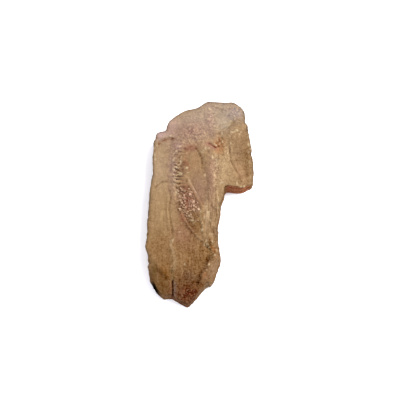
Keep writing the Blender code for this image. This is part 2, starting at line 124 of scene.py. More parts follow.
def follow(xy, path):
    """Each point's distance to a path, +1 or -1 for left or right of it, and how far along it is."""
    path = np.asarray(path, float)
    runs = np.diff(path, axis=0)
    lengths = np.hypot(*runs.T)
    done = np.concatenate([[0], np.cumsum(lengths)])
    nearest = np.full(len(xy), np.inf)
    side = np.ones(len(xy))
    part = np.zeros(len(xy))
    for start, run, length, before in zip(path, runs, lengths, done):
        away = xy - start
        share = np.clip(away @ run / length**2, 0, 1)
        distance = np.hypot(*(away - share[:, None] * run).T)
        closer = distance < nearest
        nearest[closer] = distance[closer]
        side[closer] = np.sign(run[0] * away[closer, 1] - run[1] * away[closer, 0])
        part[closer] = (before + share[closer] * length) / done[-1]
    return nearest, side, part


# %% Soft steps
def eased(value):
    """From nought to one with a soft start and end."""
    value = np.clip(value, 0, 1)
    return value * value * (3 - 2 * value)


def faded(part, start, end=None):
    """One along the middle of a path, easing to nought over a share of its length at each end."""
    return eased(part / start) * eased((1 - part) / (end or start))


def through(value, knots):
    """A smooth curve through (position, height) knots, read at value."""
    at, height = np.asarray(knots, float).T
    slope = np.gradient(height, at)
    i = np.clip(np.searchsorted(at, value, side="right") - 1, 0, len(at) - 2)
    span = at[i + 1] - at[i]
    t = np.clip((value - at[i]) / span, 0, 1)
    return (
        (2 * t**3 - 3 * t**2 + 1) * height[i] + (t**3 - 2 * t**2 + t) * span * slope[i]
        + (3 * t**2 - 2 * t**3) * height[i + 1] + (t**3 - t**2) * span * slope[i + 1]
    )


# %% [markdown]
# ## Noise with a size in millimetres
# Grain, streaks and chips are noise at different sizes. Giving each axis its own size stretches the
# noise, which is how a smooth lump becomes a long streak.


# %% Noise
FINER = 2.1  # each layer of noise is this many times finer than the one before
SEED_STEP = 17.3  # each seed reads the noise at a place of its own
CUT_HEIGHT = 0.37  # where a plan is cut through the noise, which fills space
CHIP_SEED_STEP, CHIP_CUT_HEIGHT = 9.1, 0.5  # the same two for chips


def places_in_noise(points, size, offset, cut_height):
    """Points counted in bumps of a size in mm, and moved by an offset. A plan gets a height too."""
    scaled = np.asarray(points, float) / size + offset
    if scaled.shape[1] == 2:
        scaled = np.column_stack([scaled, np.full(len(scaled), cut_height)])
    return [Vector(p) for p in scaled]


def rough(points, size, layers=1, seed=0):
    """Smooth noise from -1 to 1 with bumps of a size in mm, or of a size for each axis."""
    places = places_in_noise(points, size, SEED_STEP * seed, CUT_HEIGHT + seed)
    if layers == 1:
        return np.array([noise.noise(p) for p in places])
    return np.array([noise.fractal(p, 1.0, FINER, layers) for p in places])


def chips(points, size, seed=0):
    """Flat-sided lumps, like a broken face: 0 in the joints between them, up to 1 in their middles."""
    places = places_in_noise(points, size, CHIP_SEED_STEP * seed, CHIP_CUT_HEIGHT)
    found = np.array([noise.voronoi(p)[0][:2] for p in places])
    return np.clip(found[:, 1] - found[:, 0], 0, 1)


# %% Patches
def patch(xy, centre, reach, lean=0, firm=2.0):
    """One in the middle of an oval patch, falling to nought beyond its reach. lean is in degrees."""
    away = np.asarray(xy, float)[:, :2] - centre
    c, s = math.cos(math.radians(lean)), math.sin(math.radians(lean))
    turned = np.stack([away[:, 0] * c + away[:, 1] * s, -away[:, 0] * s + away[:, 1] * c], axis=1)
    return np.exp(-((turned / reach) ** 2).sum(1) ** (firm / 2))


def kind_of_ground(xy, patches, firm=3.0):
    """How much a kind of ground is felt at each point, 0 to 1."""
    found = np.zeros(len(xy))
    for centre, reach, lean in patches:
        found = np.maximum(found, patch(xy, centre, reach, lean, firm))
    return found


def layered(points, rows):
    """Adds up rows of noise: its patches (None for all over), strength, size, layers and seed."""
    total = np.zeros(len(points))
    for patches, strength, size, layers, seed in rows:
        felt = 1 if patches is None else kind_of_ground(points, patches)
        total += strength * felt * rough(points, size, layers, seed)
    return total


# %% [markdown]
# ## The shape of the slab
# These are the slab's outline, its thickness at named places, the faces it broke along, and its ledges,
# ridges, cracks and bumps. The outline, the heights and the breaks are the part's own, so the fine
# surface lies where the plain solid lies. A few cracks are shallower here, because grain goes on top.

# %% The slab's outline and heights
OUTLINE = [
    (4.5, 74.5), (7.5, 75), (14.5, 74.5), (20, 74), (23, 74.5), (26.5, 73.5), (29.5, 71.5), (32, 69),
    (33, 65.5), (33.5, 60.5), (35.5, 58), (35.5, 54.5), (36.5, 51.5), (38, 43.5), (38.5, 40), (38, 37.5),
    (39, 34), (39.5, 30.5), (39.5, 26), (39.5, 20), (39, 14.5), (35.5, 12), (31, 10), (25.5, 10),
    (19.5, 10), (17.5, 3.5), (15.5, -3), (14.5, -10.5), (12.5, -19), (13, -22.5), (13.5, -31.5),
    (14.5, -36), (15, -44), (13.5, -47.5), (12.5, -51), (10.5, -56), (8, -60), (6, -60), (1.5, -64.5),
    (-1.5, -68), (-6, -73), (-9, -75), (-14.5, -72.5), (-17.5, -70.5), (-21, -68.5), (-25.5, -69),
    (-28, -68), (-32, -64.5), (-33.5, -62), (-34.5, -59.5), (-36, -56.5), (-37, -50), (-37.5, -47),
    (-37, -44), (-38, -41.5), (-37.5, -39), (-39.5, -32.5), (-38.5, -26.5), (-38, -20.5), (-38.5, -15.5),
    (-37.5, -11), (-37.5, -8), (-37, -0.5), (-36.5, 3), (-36.5, 8), (-35.5, 16), (-34.5, 20), (-34.5, 25),
    (-34.5, 32.5), (-34.5, 36.5), (-34, 42), (-33.5, 45.5), (-32.5, 47.5), (-32.5, 49.5), (-31, 52),
    (-26.5, 53), (-25, 54), (-24, 58), (-23, 60), (-21, 62), (-16, 65.5), (-10.5, 68.5), (-3.5, 70),
    (-1, 71),
]
HEIGHTS = [  # x, y and the height of the top
    (-29, 46, 20), (-7, 66, 21), (18, 71, 23), (36, 53, 21), (37, 16, 20), (18, 26, 22), (-5, 23, 22),
    (-31, 27, 20), (-38, -21, 18.5), (-22, -10, 20.5), (10, -11, 22), (-8, -35, 19.5), (-29, -40, 18.5),
    (-7, -55, 17.5), (11, -38, 18.5), (-10, -72, 14),
]
BREAKS = [  # a point on the broken face, and its fall towards +X and +Y
    ((-8, -58, 15.5), (0.04, -0.52)),  # the toe
    ((-28, -52, 16.5), (-0.42, -0.42)),  # the lower left shoulder
    ((4, -48, 17.0), (0.52, -0.16)),  # the facet on the lower right
    ((30, 68, 22.5), (0.35, 0.30)),  # the far corner of the cap
    ((-25, 57, 20.5), (-0.30, 0.20)),  # the far left corner
]
SLAB_LOOP = smooth_curve(OUTLINE)
print("slab", np.ptp(SLAB_LOOP, axis=0).round(1), "mm")

# %% Its ledges, ridges and bumps
RUSTY_CRACK = [(5.5, 43), (9, 41.5), (12.5, 39.5)]
LEDGES = [  # path, drop on its right, width of the drop, reach
    ([(-34.7, 36.5), (-33, 41), (-30, 45.3), (-26.3, 47.2), (-22, 48), (-17.5, 46.8)], 1.0, 0.6, 10),
    ([(13, 48.5), (17.5, 51.5), (22, 55.5), (24.6, 58.7), (30.1, 60.7), (35.2, 62.3)], 0.8, 1.4, 18),
    ([(31.3, 16.4), (26, 24.5), (22.8, 30.7), (21.8, 38)], 1.1, 0.8, 9),
    ([(0, -60.3), (0.5, -54.5), (2, -49.5), (5.4, -43), (8.5, -36)], -1.0, 1.6, 6),
]  # the pink lobes' edge, the cap's edge, the pale wedge's edge and the lower right facet's rim
RIDGES = [  # path, width and height
    ([(-33.2, 8.9), (-30.2, 12.4), (-26.8, 13.9), (-23.3, 14.9)], 0.6, -0.6),  # the arc on the left
    ([(-23.8, 12.4), (-21.3, 2), (-22.2, -5.9), (-20.7, -16.7), (-19.1, -27)], 0.8, -0.55),  # a groove
    ([(-25.3, 11.9), (-22.7, 2), (-23.7, -5.9), (-22.1, -16.7), (-20.6, -26.5)], 1.0, 0.5),  # its ridge
    ([(-20, -27), (-19.5, -37), (-19, -41.5), (-19.5, -46), (-20, -52)], 1.6, 0.5),  # the ridge below it
    ([(-19.8, -55.5), (-19.4, -71.8)], 0.8, -1.2),  # the crack at the toe
    ([(30.3, 18.4), (26, 24.5), (22.8, 30.7), (21.8, 37), (21.5, 43)], 0.7, -0.8),  # across the block
    (RUSTY_CRACK, 0.8, -1.0),
    ([(-1, -60.3), (-0.3, -54.5), (1.5, -49.5), (4.7, -43), (8, -36)], 2.0, -0.45),  # the dark step
    ([(8.5, 4), (9.4, -9.8), (9.3, -22.6), (10.8, -31.4)], 2.4, 0.4),  # the round ridge by the hollow
]
BUMPS = [  # centre, reach across and along, height
    ((26, 47), (4.5, 4.5), 0.9),  # the boss on the block
    ((14.3, 43.5), (2.4, 4.6), -1.8),  # the rusty hole
    ((6.4, -31.8), (2.8, 2.8), -1.0),  # the pit under the hollow's tip
    ((-4.9, -41.1), (8.0, 12.0), -1.2),  # the scooped lower panel
    ((-29, 30), (3.5, 11.0), -0.7),  # the smooth left panel
    ((13, 59.2), (3.5, 6.0), -0.5),  # the pale panel in the cap
    ((26.6, 64.8), (3.5, 3.0), 0.6),  # the lump on the cap
]
print(len(LEDGES), "ledges,", len(RIDGES), "ridges and", len(BUMPS), "bumps")

# %% [markdown]
# ## Lumps and pits
# The surface is sprinkled with grains of pale calcite and with little holes. Noise could scatter them,
# but the ones that show most make this specimen what it is, so they are listed. A lump rises and is
# pale, and a pit sinks and is darkened with painted shade.

# %% Pale lumps
# Each is x, y and reach.
PALE_LUMPS = [
    # on the shell
    (-19.5, 30, 0.9), (-17, 25, 0.9), (-19, 23.5, 1), (-19, 19.5, 0.9), (-18, 16.5, 0.9), (-19, 13, 1.1),
    (-17.5, 6, 1.2), (-14.5, 20, 1.3), (-14, 29, 0.8), (-17, 37, 0.8), (-15.5, 40.5, 1.3),
    (-12.5, 9, 0.6), (-8.5, 21, 0.7), (2, 37, 1.2), (4, 39, 1), (12, 29, 0.6), (12, 26.5, 0.7),
    (11.5, 34, 0.7), (9, 32.5, 0.8), (3.5, 19, 0.7), (10.5, 19, 0.6), (11.5, 12, 0.7), (6.5, 39, 0.7),
    (-9.5, 24.5, 0.8), (-19, 35, 0.6), (-9.5, 35.5, 0.7),
    # round the hollow
    (-17, 6.5, 1.1), (0.5, -7.5, 0.6), (1, -13, 0.8), (1.5, -16, 0.6), (2, -18, 0.7), (1.5, -21, 0.9),
    (4.5, -4, 0.7), (3.5, -12.5, 0.7), (-5.5, -14, 0.7), (-4.5, -16, 0.6),
    # low on the rock
    (4.2, -29.5, 0.7), (5, -31.2, 0.8), (6.6, -33, 0.6), (8.6, -30.5, 0.6), (3, -31.8, 0.5),
    (6, -31.5, 0.8), (5, -28.5, 0.8), (9, -29, 0.7), (13.5, 1, 0.9), (13, -4.5, 0.9), (6, -8.5, 0.8),
    (3.5, -11.5, 0.7), (7.5, -14, 0.8), (8.5, -24, 0.8), (12, -35, 0.7), (11, -38.5, 0.6),
    (-19.5, -28.5, 0.8), (-14.5, -22.5, 0.8), (6.5, -45.5, 0.7), (5, -49.5, 0.6), (-11, -45.5, 0.6),
    # on the cap and the block
    (24, 66.5, 0.6), (27.5, 67.5, 0.5), (28.5, 65.5, 0.6), (25.5, 63, 0.5), (22.5, 64.5, 0.5), (8, 66, 1),
    (6, 61.5, 0.7), (7.5, 56.5, 0.7), (8, 54, 0.7), (7, 69, 0.7), (23.5, 51.5, 1.1), (27, 53, 1),
    (29, 50.5, 0.9), (30, 52, 0.6), (22, 48.5, 0.8), (25.5, 52, 0.7), (35.5, 49.5, 0.7), (36, 44, 0.8),
    (37.3, 41, 0.8), (36, 38.5, 0.6), (36.5, 31.5, 0.8), (16, 50.5, 0.7), (13, 48.5, 0.7),
    (13, 45.5, 0.8), (14.5, 43, 0.9), (15, 40.5, 0.9), (16.5, 44, 0.7), (12, 41.5, 0.7), (22.5, 43, 0.6),
    (20, 35.5, 0.6), (25.5, 61, 0.6), (-31.5, 42, 1), (-21.5, 49, 0.7), (12, 30.5, 0.7), (12, 27, 0.8),
    (10, 32, 0.6), (27, 14, 0.7), (30, 12.3, 0.7), (32.5, 12.8, 0.8), (34, 12.2, 0.7),
]
print(len(PALE_LUMPS), "lumps")

# %% Dark pits
DARK_PITS = [
    # on the shell
    (-19, 38, 0.9), (-17, 36, 0.7), (-14.5, 36.5, 0.7), (-13, 34.5, 0.9), (-14.5, 32.5, 1.1),
    (-14, 30, 0.7), (-16.5, 24, 0.8), (-12, 19.5, 0.8), (-15, 18.5, 1), (-14, 18, 0.9), (-15.5, 16, 0.9),
    (-13.5, 21.5, 0.8), (-16, 13, 0.8), (-17.5, 13, 0.7), (-17, 9.5, 0.8), (-15, 7, 1.2), (-13.5, 8, 0.8),
    (-21.5, 7, 0.8), (-9.5, 14.5, 0.9), (6.5, 36, 0.7), (2.5, 24.5, 0.9), (12, 24.5, 0.8),
    (8.5, 34.5, 0.8), (1.5, 31.5, 0.8), (1.5, 29.5, 0.9), (1.5, 28, 0.8), (4, 28, 0.7),
    (-20.5, 26.5, 0.7), (-21, 23, 0.8), (-11.5, 39, 0.8), (-2, 37.5, 0.9), (-0.5, 35, 0.8),
    (-1.5, 6, 0.7), (-20, 11.5, 0.8),
    # in the hollow
    (-12, 4, 0.8), (-12.5, 1, 0.8), (-16.5, -1, 0.8), (-11, -3.5, 0.8), (-9, -5, 0.8), (-12, -5.5, 0.9),
    (-14, -7.5, 0.9), (-6, -10, 0.7), (-5.5, -15, 0.8), (0.5, -15.5, 0.8), (0.5, -19, 0.7), (1.5, -23, 1),
    (-3, -25, 0.9), (-8.5, 1, 0.8), (-3, -0.5, 0.8), (-7.5, 7, 0.7), (-15, -2.5, 0.8), (-2.5, -7, 0.7),
    (-7, -2.5, 0.7),
    # low on the rock
    (3.5, -31.5, 0.9), (7, -34.5, 1.2), (1.5, -29, 0.8), (8.5, -37, 1), (6, -29.5, 0.8),
    (6.5, -15.5, 0.9), (11.5, 2, 0.7), (11.5, -6.5, 0.8), (-19.5, -26, 1), (5, -33.5, 0.8),
    (10, -33.5, 0.7), (0.5, -33.5, 0.6), (6.5, -40, 0.8), (4.5, -44.5, 0.8),
    # on the cap and the block
    (12.5, 43.5, 0.9), (13.5, 41, 1.2), (16.5, 40.5, 0.8), (9, 41, 0.9), (10.5, 40, 0.9), (15, 37.5, 1),
    (22, 39, 1.1), (16.5, 47, 1), (20.5, 63.5, 0.7), (18, 67.5, 0.7), (23, 55, 0.8), (11, 60, 0.8),
    (11.5, 73.5, 0.6), (23.5, 73, 0.8), (-12, 65.5, 0.8), (-7, 67.5, 0.9), (16, 67.5, 0.8),
    (37, 37.5, 0.8), (35, 55, 1), (35.5, 49, 0.8),
]
print(len(DARK_PITS), "pits")

# %% Where a lump or pit is felt
SPOT_STRENGTH = (0.35, 1.0)  # each has its own
SPOT_STRETCH = (0.75, 1.35)  # and is made longer one way and shorter the other
SPOT_REACHES = 3  # beyond so many reaches nothing is felt
SPOT_WOBBLE, SPOT_WOBBLE_SIZE = 0.6, 0.9  # how far its edge strays, as a share, and how finely


def spots_felt(xy, spots):
    """How much of the nearest spots is felt at each point, 0 to 1."""
    found = np.zeros(len(xy))
    chance = random.Random(SEED)
    for x, y, reach in spots:
        strength = chance.uniform(*SPOT_STRENGTH)
        near = np.abs(xy - (x, y)).max(axis=1) < SPOT_REACHES * reach
        longer = chance.uniform(*SPOT_STRETCH)
        distance = np.hypot(*((xy[near] - (x, y)) * (longer, 1 / longer)).T)
        distance *= 1 + SPOT_WOBBLE * rough(xy[near], SPOT_WOBBLE_SIZE, 1, seed=25)
        found[near] = np.maximum(found[near], strength * np.exp(-((distance / reach) ** 2)))
    return found


# %% [markdown]
# ## Where the shell lies
# The shell is laid out like a wheel. Spokes run from the edge of the almond-shaped inner whorl to the
# edge of the shell. A place on the shell is then two numbers, how far round and how far out, which
# makes the whorl's section, its seams and its shoulders simple to write.

# %% The shell's outline
SPOKES = [  # the inner end and the outer end of each spoke
    ((2.5, -3.5), (5.4, -32.8)), ((1.5, -1.5), (2.5, -30.4)), ((0, 0.5), (-2, -27)),
    ((-1.5, 3.5), (-6.4, -22.1)), ((-3, 6.5), (-11.1, -15.2)), ((-4.5, 9.5), (-15, -7.4)),
    ((-6, 12.7), (-18.3, 0)), ((-7.7, 16.5), (-20.8, 7.4)), ((-9.3, 20.5), (-22.1, 14.9)),
    ((-10, 24.5), (-22.5, 21.5)), ((-9.9, 28.7), (-22.2, 27.5)), ((-9, 33), (-21.2, 34)),
    ((-7.7, 36.3), (-19.3, 41)), ((-6.4, 38.5), (-16.3, 48.5)), ((-5.2, 39.7), (-11.5, 55.5)),
    ((-4.2, 40), (-5, 59.2)), ((-3.1, 39.6), (0.5, 56.7)), ((-1.9, 38.3), (4.7, 49.5)),
    ((-0.4, 36), (7.7, 41.5)), ((1.1, 32.8), (10, 33.8)), ((2.5, 28.3), (11.5, 26)),
    ((3.7, 22.5), (12.2, 18.5)), ((4.9, 16.3), (11.8, 11)), ((5.4, 8.5), (9.9, 3.3)),
    ((5.2, 4.7), (7.7, -3.7)), ((4.7, 1.7), (5.8, -9.8)), ((4.1, -0.6), (5.1, -17.2)),
    ((3.4, -2.3), (5.1, -25.5)),
]
LOOP_POINTS = 700
SHELL_LOOP = around(smooth_curve([b for _, b in SPOKES]), LOOP_POINTS)
print("shell", np.ptp(SHELL_LOOP, axis=0).round(1), "mm")

# %% [markdown]
# ## The height of the rock
# The main form comes first and in the same words as the solid's: named heights blended with each other,
# cut by the broken faces, then the ledges, ridges and bumps. Fine relief goes on after it.


# %% Main form of the rock
HEIGHT_REACH = 13  # how far from its place each named height is felt
BREAK_ROUNDING = 0.8  # how much the edge above a broken face is rounded
EDGE_ROUNDING = 0.9  # the top drops this much at the outline
EDGE_REACH = 1.6  # and the drop is felt about this far in
LEAST_WEIGHT = 1e-9  # keeps a place far from all the named heights from dividing by nought
LEDGE_ENDS = 0.12  # ledges and ridges die out over this share of their length at each end
RIDGE_ENDS = 0.15


def rock_form(xy):
    """The height of the slab's top, without its pocket and its fine relief."""
    named = np.array(HEIGHTS, float)
    away = xy[:, None, :] - named[None, :, :2]
    weight = np.exp(-(away**2).sum(-1) / (2 * HEIGHT_REACH**2)) + LEAST_WEIGHT
    height = (weight * named[:, 2]).sum(1) / weight.sum(1)
    for (x, y, z), (fall_x, fall_y) in BREAKS:
        face = z - fall_x * (xy[:, 0] - x) - fall_y * (xy[:, 1] - y)
        both = np.maximum(BREAK_ROUNDING - np.abs(height - face), 0) / BREAK_ROUNDING
        height = np.minimum(height, face) - both**2 * BREAK_ROUNDING / 4
    for path, drop, width, reach in LEDGES:
        distance, side, part = follow(xy, smooth_curve(path, closed=False))
        level = eased(0.5 - side * distance / (2 * width))
        height -= drop * level * faded(part, LEDGE_ENDS) * np.exp(-(distance / reach) ** 2)
    for path, width, rise in RIDGES:
        distance, _, part = follow(xy, smooth_curve(path, closed=False))
        height += rise * faded(part, RIDGE_ENDS) * np.exp(-(distance / width) ** 2)
    for centre, reach, rise in BUMPS:
        height += rise * np.exp(-(((xy - centre) / reach) ** 2).sum(1))
    rim = np.maximum(depth_inside(xy, SLAB_LOOP), 0)
    return height - EDGE_ROUNDING * np.exp(-rim / EDGE_REACH)


# %% [markdown]
# ## Kinds of ground
# The rock isn't the same all over. Where it was dragged along its bedding it is streaked or finely
# striated, where it broke it is chipped, and where sand weathered out it is knobbly or gritty. A mask
# could be painted for each kind, but soft oval patches are quicker to change. The same patches serve
# the colours, so that what looks broken also looks stained.

# %% Patches of each kind
RUSTY_HOLE = ((14.3, 43.5), (3.2, 6.0), 0)
STREAKED = [  # centre, reach, lean
    ((-5, -38), (13, 17), 8),  # the lower panel
    ((9, -10), (5, 20), -3),  # the strip by the hollow
    ((-29, -10), (8, 24), -2),  # the left side
    ((-28, -48), (9, 16), 4),  # and its lower end
]
CHIPPED = [
    ((-8, -65), (10, 6.5), -8),  # the toe
    ((7.5, -33), (5, 5), 0),  # the pit
    RUSTY_HOLE,
    ((2.5, -49), (1.8, 12), -24),  # the dark step
    ((35, 33), (3.2, 17), -5),  # the block's right edge
]
STRIATED = [
    ((9, -12), (6, 22), -3),  # the strip by the hollow
]
GRITTY = [
    ((15, 28), (7, 14), -18),  # the pale wedge
    ((26, 66), (5, 5), 0),  # the lump on the cap
    ((8, -33), (6, 5), 0),  # round the pit
]
KNOBBLY = [
    ((9, 62), (4, 9), 0),  # the pink band in the cap
    ((11, 24), (2.5, 18), 0),  # the edge of the shell's right flank
    ((-17, 24), (5.5, 20), 0),  # the shell's left
    ((-6, 49), (12, 8), 10),  # and its top
]
SMOOTH = [
    ((-29, 8), (9, 40), 0),  # the left side
    ((-28, -50), (8, 14), 0),  # its lower end
    ((-18, 54), (12, 9), 20),  # the field above the shell
    ((-3, 24), (6, 16), 8),  # the almond
    ((15.5, 62), (4, 7), 0),  # the pale panel in the cap
]

# %% How uneven the ground is
SMOOTH_CALM = 0.4  # how much of the grain smooth ground loses
KNOBBLY_EXTRA = 0.5  # how much more of it rough ground has
# Painted black shadow of an undercut low on the lower left shoulder: centre, reach, lean and how firm its
# edge is.
UNDERCUT_SHADOW = ((-33, -62), (3.6, 6.0), 30, 4.0)
UNDERCUT_SHADOW_WIDTH = 2.6  # how far in from the outline it comes
UNDERCUT_SHADOW_EDGE = 0.5


def undercut_shadow(xy):
    """How much of the painted black undercut shadow is felt along the rim at each point."""
    rim = np.maximum(depth_inside(xy, SLAB_LOOP), 0)
    return patch(xy, *UNDERCUT_SHADOW) * eased((UNDERCUT_SHADOW_WIDTH - rim) / UNDERCUT_SHADOW_EDGE)


def unevenness(xy):
    """How strongly the material's grain and mottling show at each point."""
    smooth, knobbly = kind_of_ground(xy, SMOOTH), kind_of_ground(xy, KNOBBLY + GRITTY)
    # no grain shows in the painted black undercut shadow
    return (1 - SMOOTH_CALM * smooth) * (1 + KNOBBLY_EXTRA * knobbly) * (1 - undercut_shadow(xy))


# %% Fine relief
RELIEF = [  # patches, height, size across or along each axis, layers and seed
    (None, 0.42, 7.0, 3, 1),  # soft swells all over
    (None, 0.10, 1.3, 2, 2),  # and grain
    (STREAKED, 0.24, (1.2, 9.0), 2, 3),
    (KNOBBLY, 0.38, 1.9, 2, 6),
    (GRITTY, 0.20, 1.6, 2, 7),
]
CHIP_HEIGHTS = [(0.55, 3.2, 4), (0.4, 1.6, 5)]  # height, size and seed
CHIP_SINK = 0.45  # brings the chips' middle height back to the surface
LUMP_RISE, PIT_SINK = 0.45, 0.22


def fine_relief(xy):
    """Grain, streaks, knobs, chips, lumps and pits on the top, in mm."""
    chipped = sum(height * chips(xy, size, seed) for height, size, seed in CHIP_HEIGHTS) - CHIP_SINK
    relief = layered(xy, RELIEF) + kind_of_ground(xy, CHIPPED) * chipped
    return relief + LUMP_RISE * spots_felt(xy, PALE_LUMPS) - PIT_SINK * spots_felt(xy, DARK_PITS)


# %% The pocket under the shell
BOWL_DEPTH = 8.5
BOWL_REACH = 11  # how far inside the shell's edge it is as deep as that


def pocket_depth(xy, inset):
    """How far the rock is hollowed out under the shell. inset moves the pocket's edge inwards."""
    near = 1 - np.clip(depth_inside(xy, SHELL_LOOP) - inset, 0, BOWL_REACH) / BOWL_REACH
    return BOWL_DEPTH * np.sqrt(1 - near**4)


# %% [markdown]
# ## Meshes from rings of points
# Two tools build the slab and the shell. A band joins two rings with the same number of points. A fill
# closes an area through a honeycomb of points with Delaunay's triangles, which keeps them even. A plain
# grid would be simpler, but it would leave steps along the broken outline.


# %% Mesh tools
SAME_POINT = 1e-7  # points nearer than this count as one, in mm


class Shape:
    """Points and faces gathered for one piece."""

    def __init__(self):
        self.points = np.empty((0, 3))
        self.faces = []

    def add(self, xy, z):
        """Adds points and returns their numbers."""
        first = len(self.points)
        rows = np.column_stack([xy, np.broadcast_to(z, len(xy))])
        self.points = np.concatenate([self.points, rows])
        return np.arange(first, len(self.points))

    def band(self, ring, other):
        """Joins two closed rings with the same number of points."""
        ahead, other_ahead = np.roll(ring, -1), np.roll(other, -1)
        self.faces += np.stack([ring, ahead, other_ahead, other], axis=1).tolist()

    def fill(self, ring, inner_xy, inner_z):
        """Fills the inside of a ring of points through some inner points."""
        numbers = np.concatenate([ring, self.add(inner_xy, inner_z)])
        flat = self.points[numbers, :2]
        edges = [(k, (k + 1) % len(ring)) for k in range(len(ring))]
        cut = delaunay_2d_cdt([Vector(p) for p in flat], edges, [], 0, SAME_POINT)
        triangles = np.array([[cut[3][v][0] for v in face] for face in cut[2]])
        keep = inside(flat[triangles].mean(axis=1), flat[: len(ring)])
        self.faces += numbers[triangles[keep]].tolist()

    def mesh(self, name):
        """Makes the mesh, with its faces turned outwards."""
        made = bpy.data.meshes.new(name)
        made.from_pydata((self.points * MM).tolist(), [], self.faces)
        work = bmesh.new()
        work.from_mesh(made)
        bmesh.ops.recalc_face_normals(work, faces=work.faces)
        work.to_mesh(made)
        work.free()
        made.shade_smooth()
        return made


def honeycomb(loop, step, clear):
    """Points in rows like a honeycomb, inside a loop and clear of its edge."""
    low, high = loop.min(axis=0), loop.max(axis=0)
    rows = np.arange(low[1], high[1], step * math.sqrt(3) / 2)
    points = np.array([
        (x + (step / 2 if k % 2 else 0), y)
        for k, y in enumerate(rows) for x in np.arange(low[0], high[0], step)
    ])
    return points[depth_inside(points, loop) > clear]


def place(mesh, material):
    """Puts a mesh into the scene as a piece that rides on the slab."""
    mesh.materials.append(material)
    piece = bpy.data.objects.new(mesh.name, mesh)
    bpy.context.scene.collection.objects.link(piece)
    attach(piece, "root")
    return piece


# %% [markdown]
# ## Colours
# Colours are written as on a colour chart, in sRGB hex, and one function turns them to the linear
# values that Blender calculates with. The stone's colours are named for what makes them: iron gives
# pinks and reds where it is haematite and tans and olives where it is limonite, and clean calcite is
# pale. A picture could be painted for this, but colours worked out at the mesh's own points need no
# picture and follow every ledge and pit.


# %% Colour helpers
REFLECTS = 0.39  # the chart colours are as seen in bright light, and the stone reflects less
STAIN_WANDER, STAIN_WANDER_SIZE = 1.6, 5.0  # how far a stain's edge strays, and how finely


def linear(colour):
    """A linear colour from sRGB hex."""
    parts = np.array([int(colour[i : i + 2], 16) / 255 for i in (1, 3, 5)])
    return np.where(parts <= 0.04045, parts / 12.92, ((parts + 0.055) / 1.055) ** 2.4)


def laid_over(colour, other, share):
    """One colour at each point with another laid over it, and how much of it shows."""
    return colour * (1 - share[:, None]) + other * share[:, None]


def stained(xy, ground, stains):
    """A colour for each point: the ground's colour with stains laid over it one after another."""
    colour = np.tile(linear(ground), (len(xy), 1))
    wander = np.stack([rough(xy, STAIN_WANDER_SIZE, 2, seed) for seed in (21, 22)], axis=1)
    strayed = xy + STAIN_WANDER * wander
    for hex_colour, centre, reach, lean, strength in stains:
        colour = laid_over(colour, linear(hex_colour), strength * patch(strayed, centre, reach, lean))
    return colour


# %% What a mesh keeps for its material
def keep_colour(mesh, name, colour):
    """Stores a colour at each point of a mesh, for its material to read."""
    layer = mesh.color_attributes.new(name, "FLOAT_COLOR", "POINT")
    rows = np.column_stack([colour, np.ones(len(colour))]).astype(np.float32)
    layer.data.foreach_set("color", rows.ravel())


def keep_number(mesh, name, value):
    """Stores a number at each point of a mesh, for its material to read."""
    layer = mesh.attributes.new(name, "FLOAT", "POINT")
    layer.data.foreach_set("value", np.asarray(value, np.float32))


def read(items, key, width, kind):
    """One value of all of a mesh's vertices or edges, a row for each."""
    values = np.empty(len(items) * width, kind)
    items.foreach_get(key, values)
    return values.reshape(-1, width)


def hollowness(mesh, rounds):
    """How far each point lies above (+) or below (-) the average of its surroundings, in mm."""
    points = read(mesh.vertices, "co", 3, np.float32).astype(float) / MM
    a, b = read(mesh.edges, "vertices", 2, np.int32).T
    count = np.bincount(a, minlength=len(points)) + np.bincount(b, minlength=len(points))
    even = points.copy()
    for _ in range(rounds):
        total = np.stack([
            np.bincount(a, even[b, k], len(points)) + np.bincount(b, even[a, k], len(points))
            for k in range(3)
        ], axis=1)
        even = total / count[:, None]
    return ((points - even) * read(mesh.vertices, "normal", 3, np.float32)).sum(axis=1)


def keep_ground(mesh, xy, colour, where, rounds):
    """Stores what the rock's material reads: its stains, how high it stands out for the painted shade and
    highlight, and how uneven it is.
    """
    keep_colour(mesh, "stain", np.clip(colour * REFLECTS, 0, 1))
    # low places get painted shade and high places a painted highlight from this
    keep_number(mesh, "relief", where * np.clip(hollowness(mesh, rounds), -1, 1))
    keep_number(mesh, "uneven", unevenness(xy))


# %% [markdown]
# ## One helper for shader nodes
# A material is a small network. This one function adds a node, sets its values and joins its inputs, so
# that each material below reads as a list of steps.


# %% Shader helper
def node(tree, kind, settings=None, links=None):
    """Adds a shader node. settings are its own properties, links its inputs: sockets or values."""
    made = tree.nodes.new(kind)
    for key, value in (settings or {}).items():
        setattr(made, key, value)
    for key, value in (links or {}).items():
        if isinstance(value, bpy.types.NodeSocket):
            tree.links.new(value, made.inputs[key])
        else:
            made.inputs[key].default_value = value
    return made


def new_material(name):
    """An empty material with its Principled shader, and the node that gives places in metres."""
    material = bpy.data.materials.new(name)
    material.use_nodes = True
    tree = material.node_tree
    return material, tree, tree.nodes["Principled BSDF"], tree.nodes.new("ShaderNodeTexCoord")


def per_metre(size_mm):
    """The texture scale that makes one bump of a size in mm."""
    return 1 / (size_mm * MM)


# %% [markdown]
# ## Iron-stained rock
# The rock is a fine sandy limestone, split and weathered, not polished. Its skin of sand grains
# scatters light every way, so it is dull, with no gloss and no sheen at a low angle. The stains come
# from the colours stored at the points. Over them go mottling and grain as noise, painted shade with
# some dirt in the low places and a painted highlight on the high places. Real sand grains are a few
# tenths of a millimetre across, too fine to show, so the grain is drawn at 1 mm.


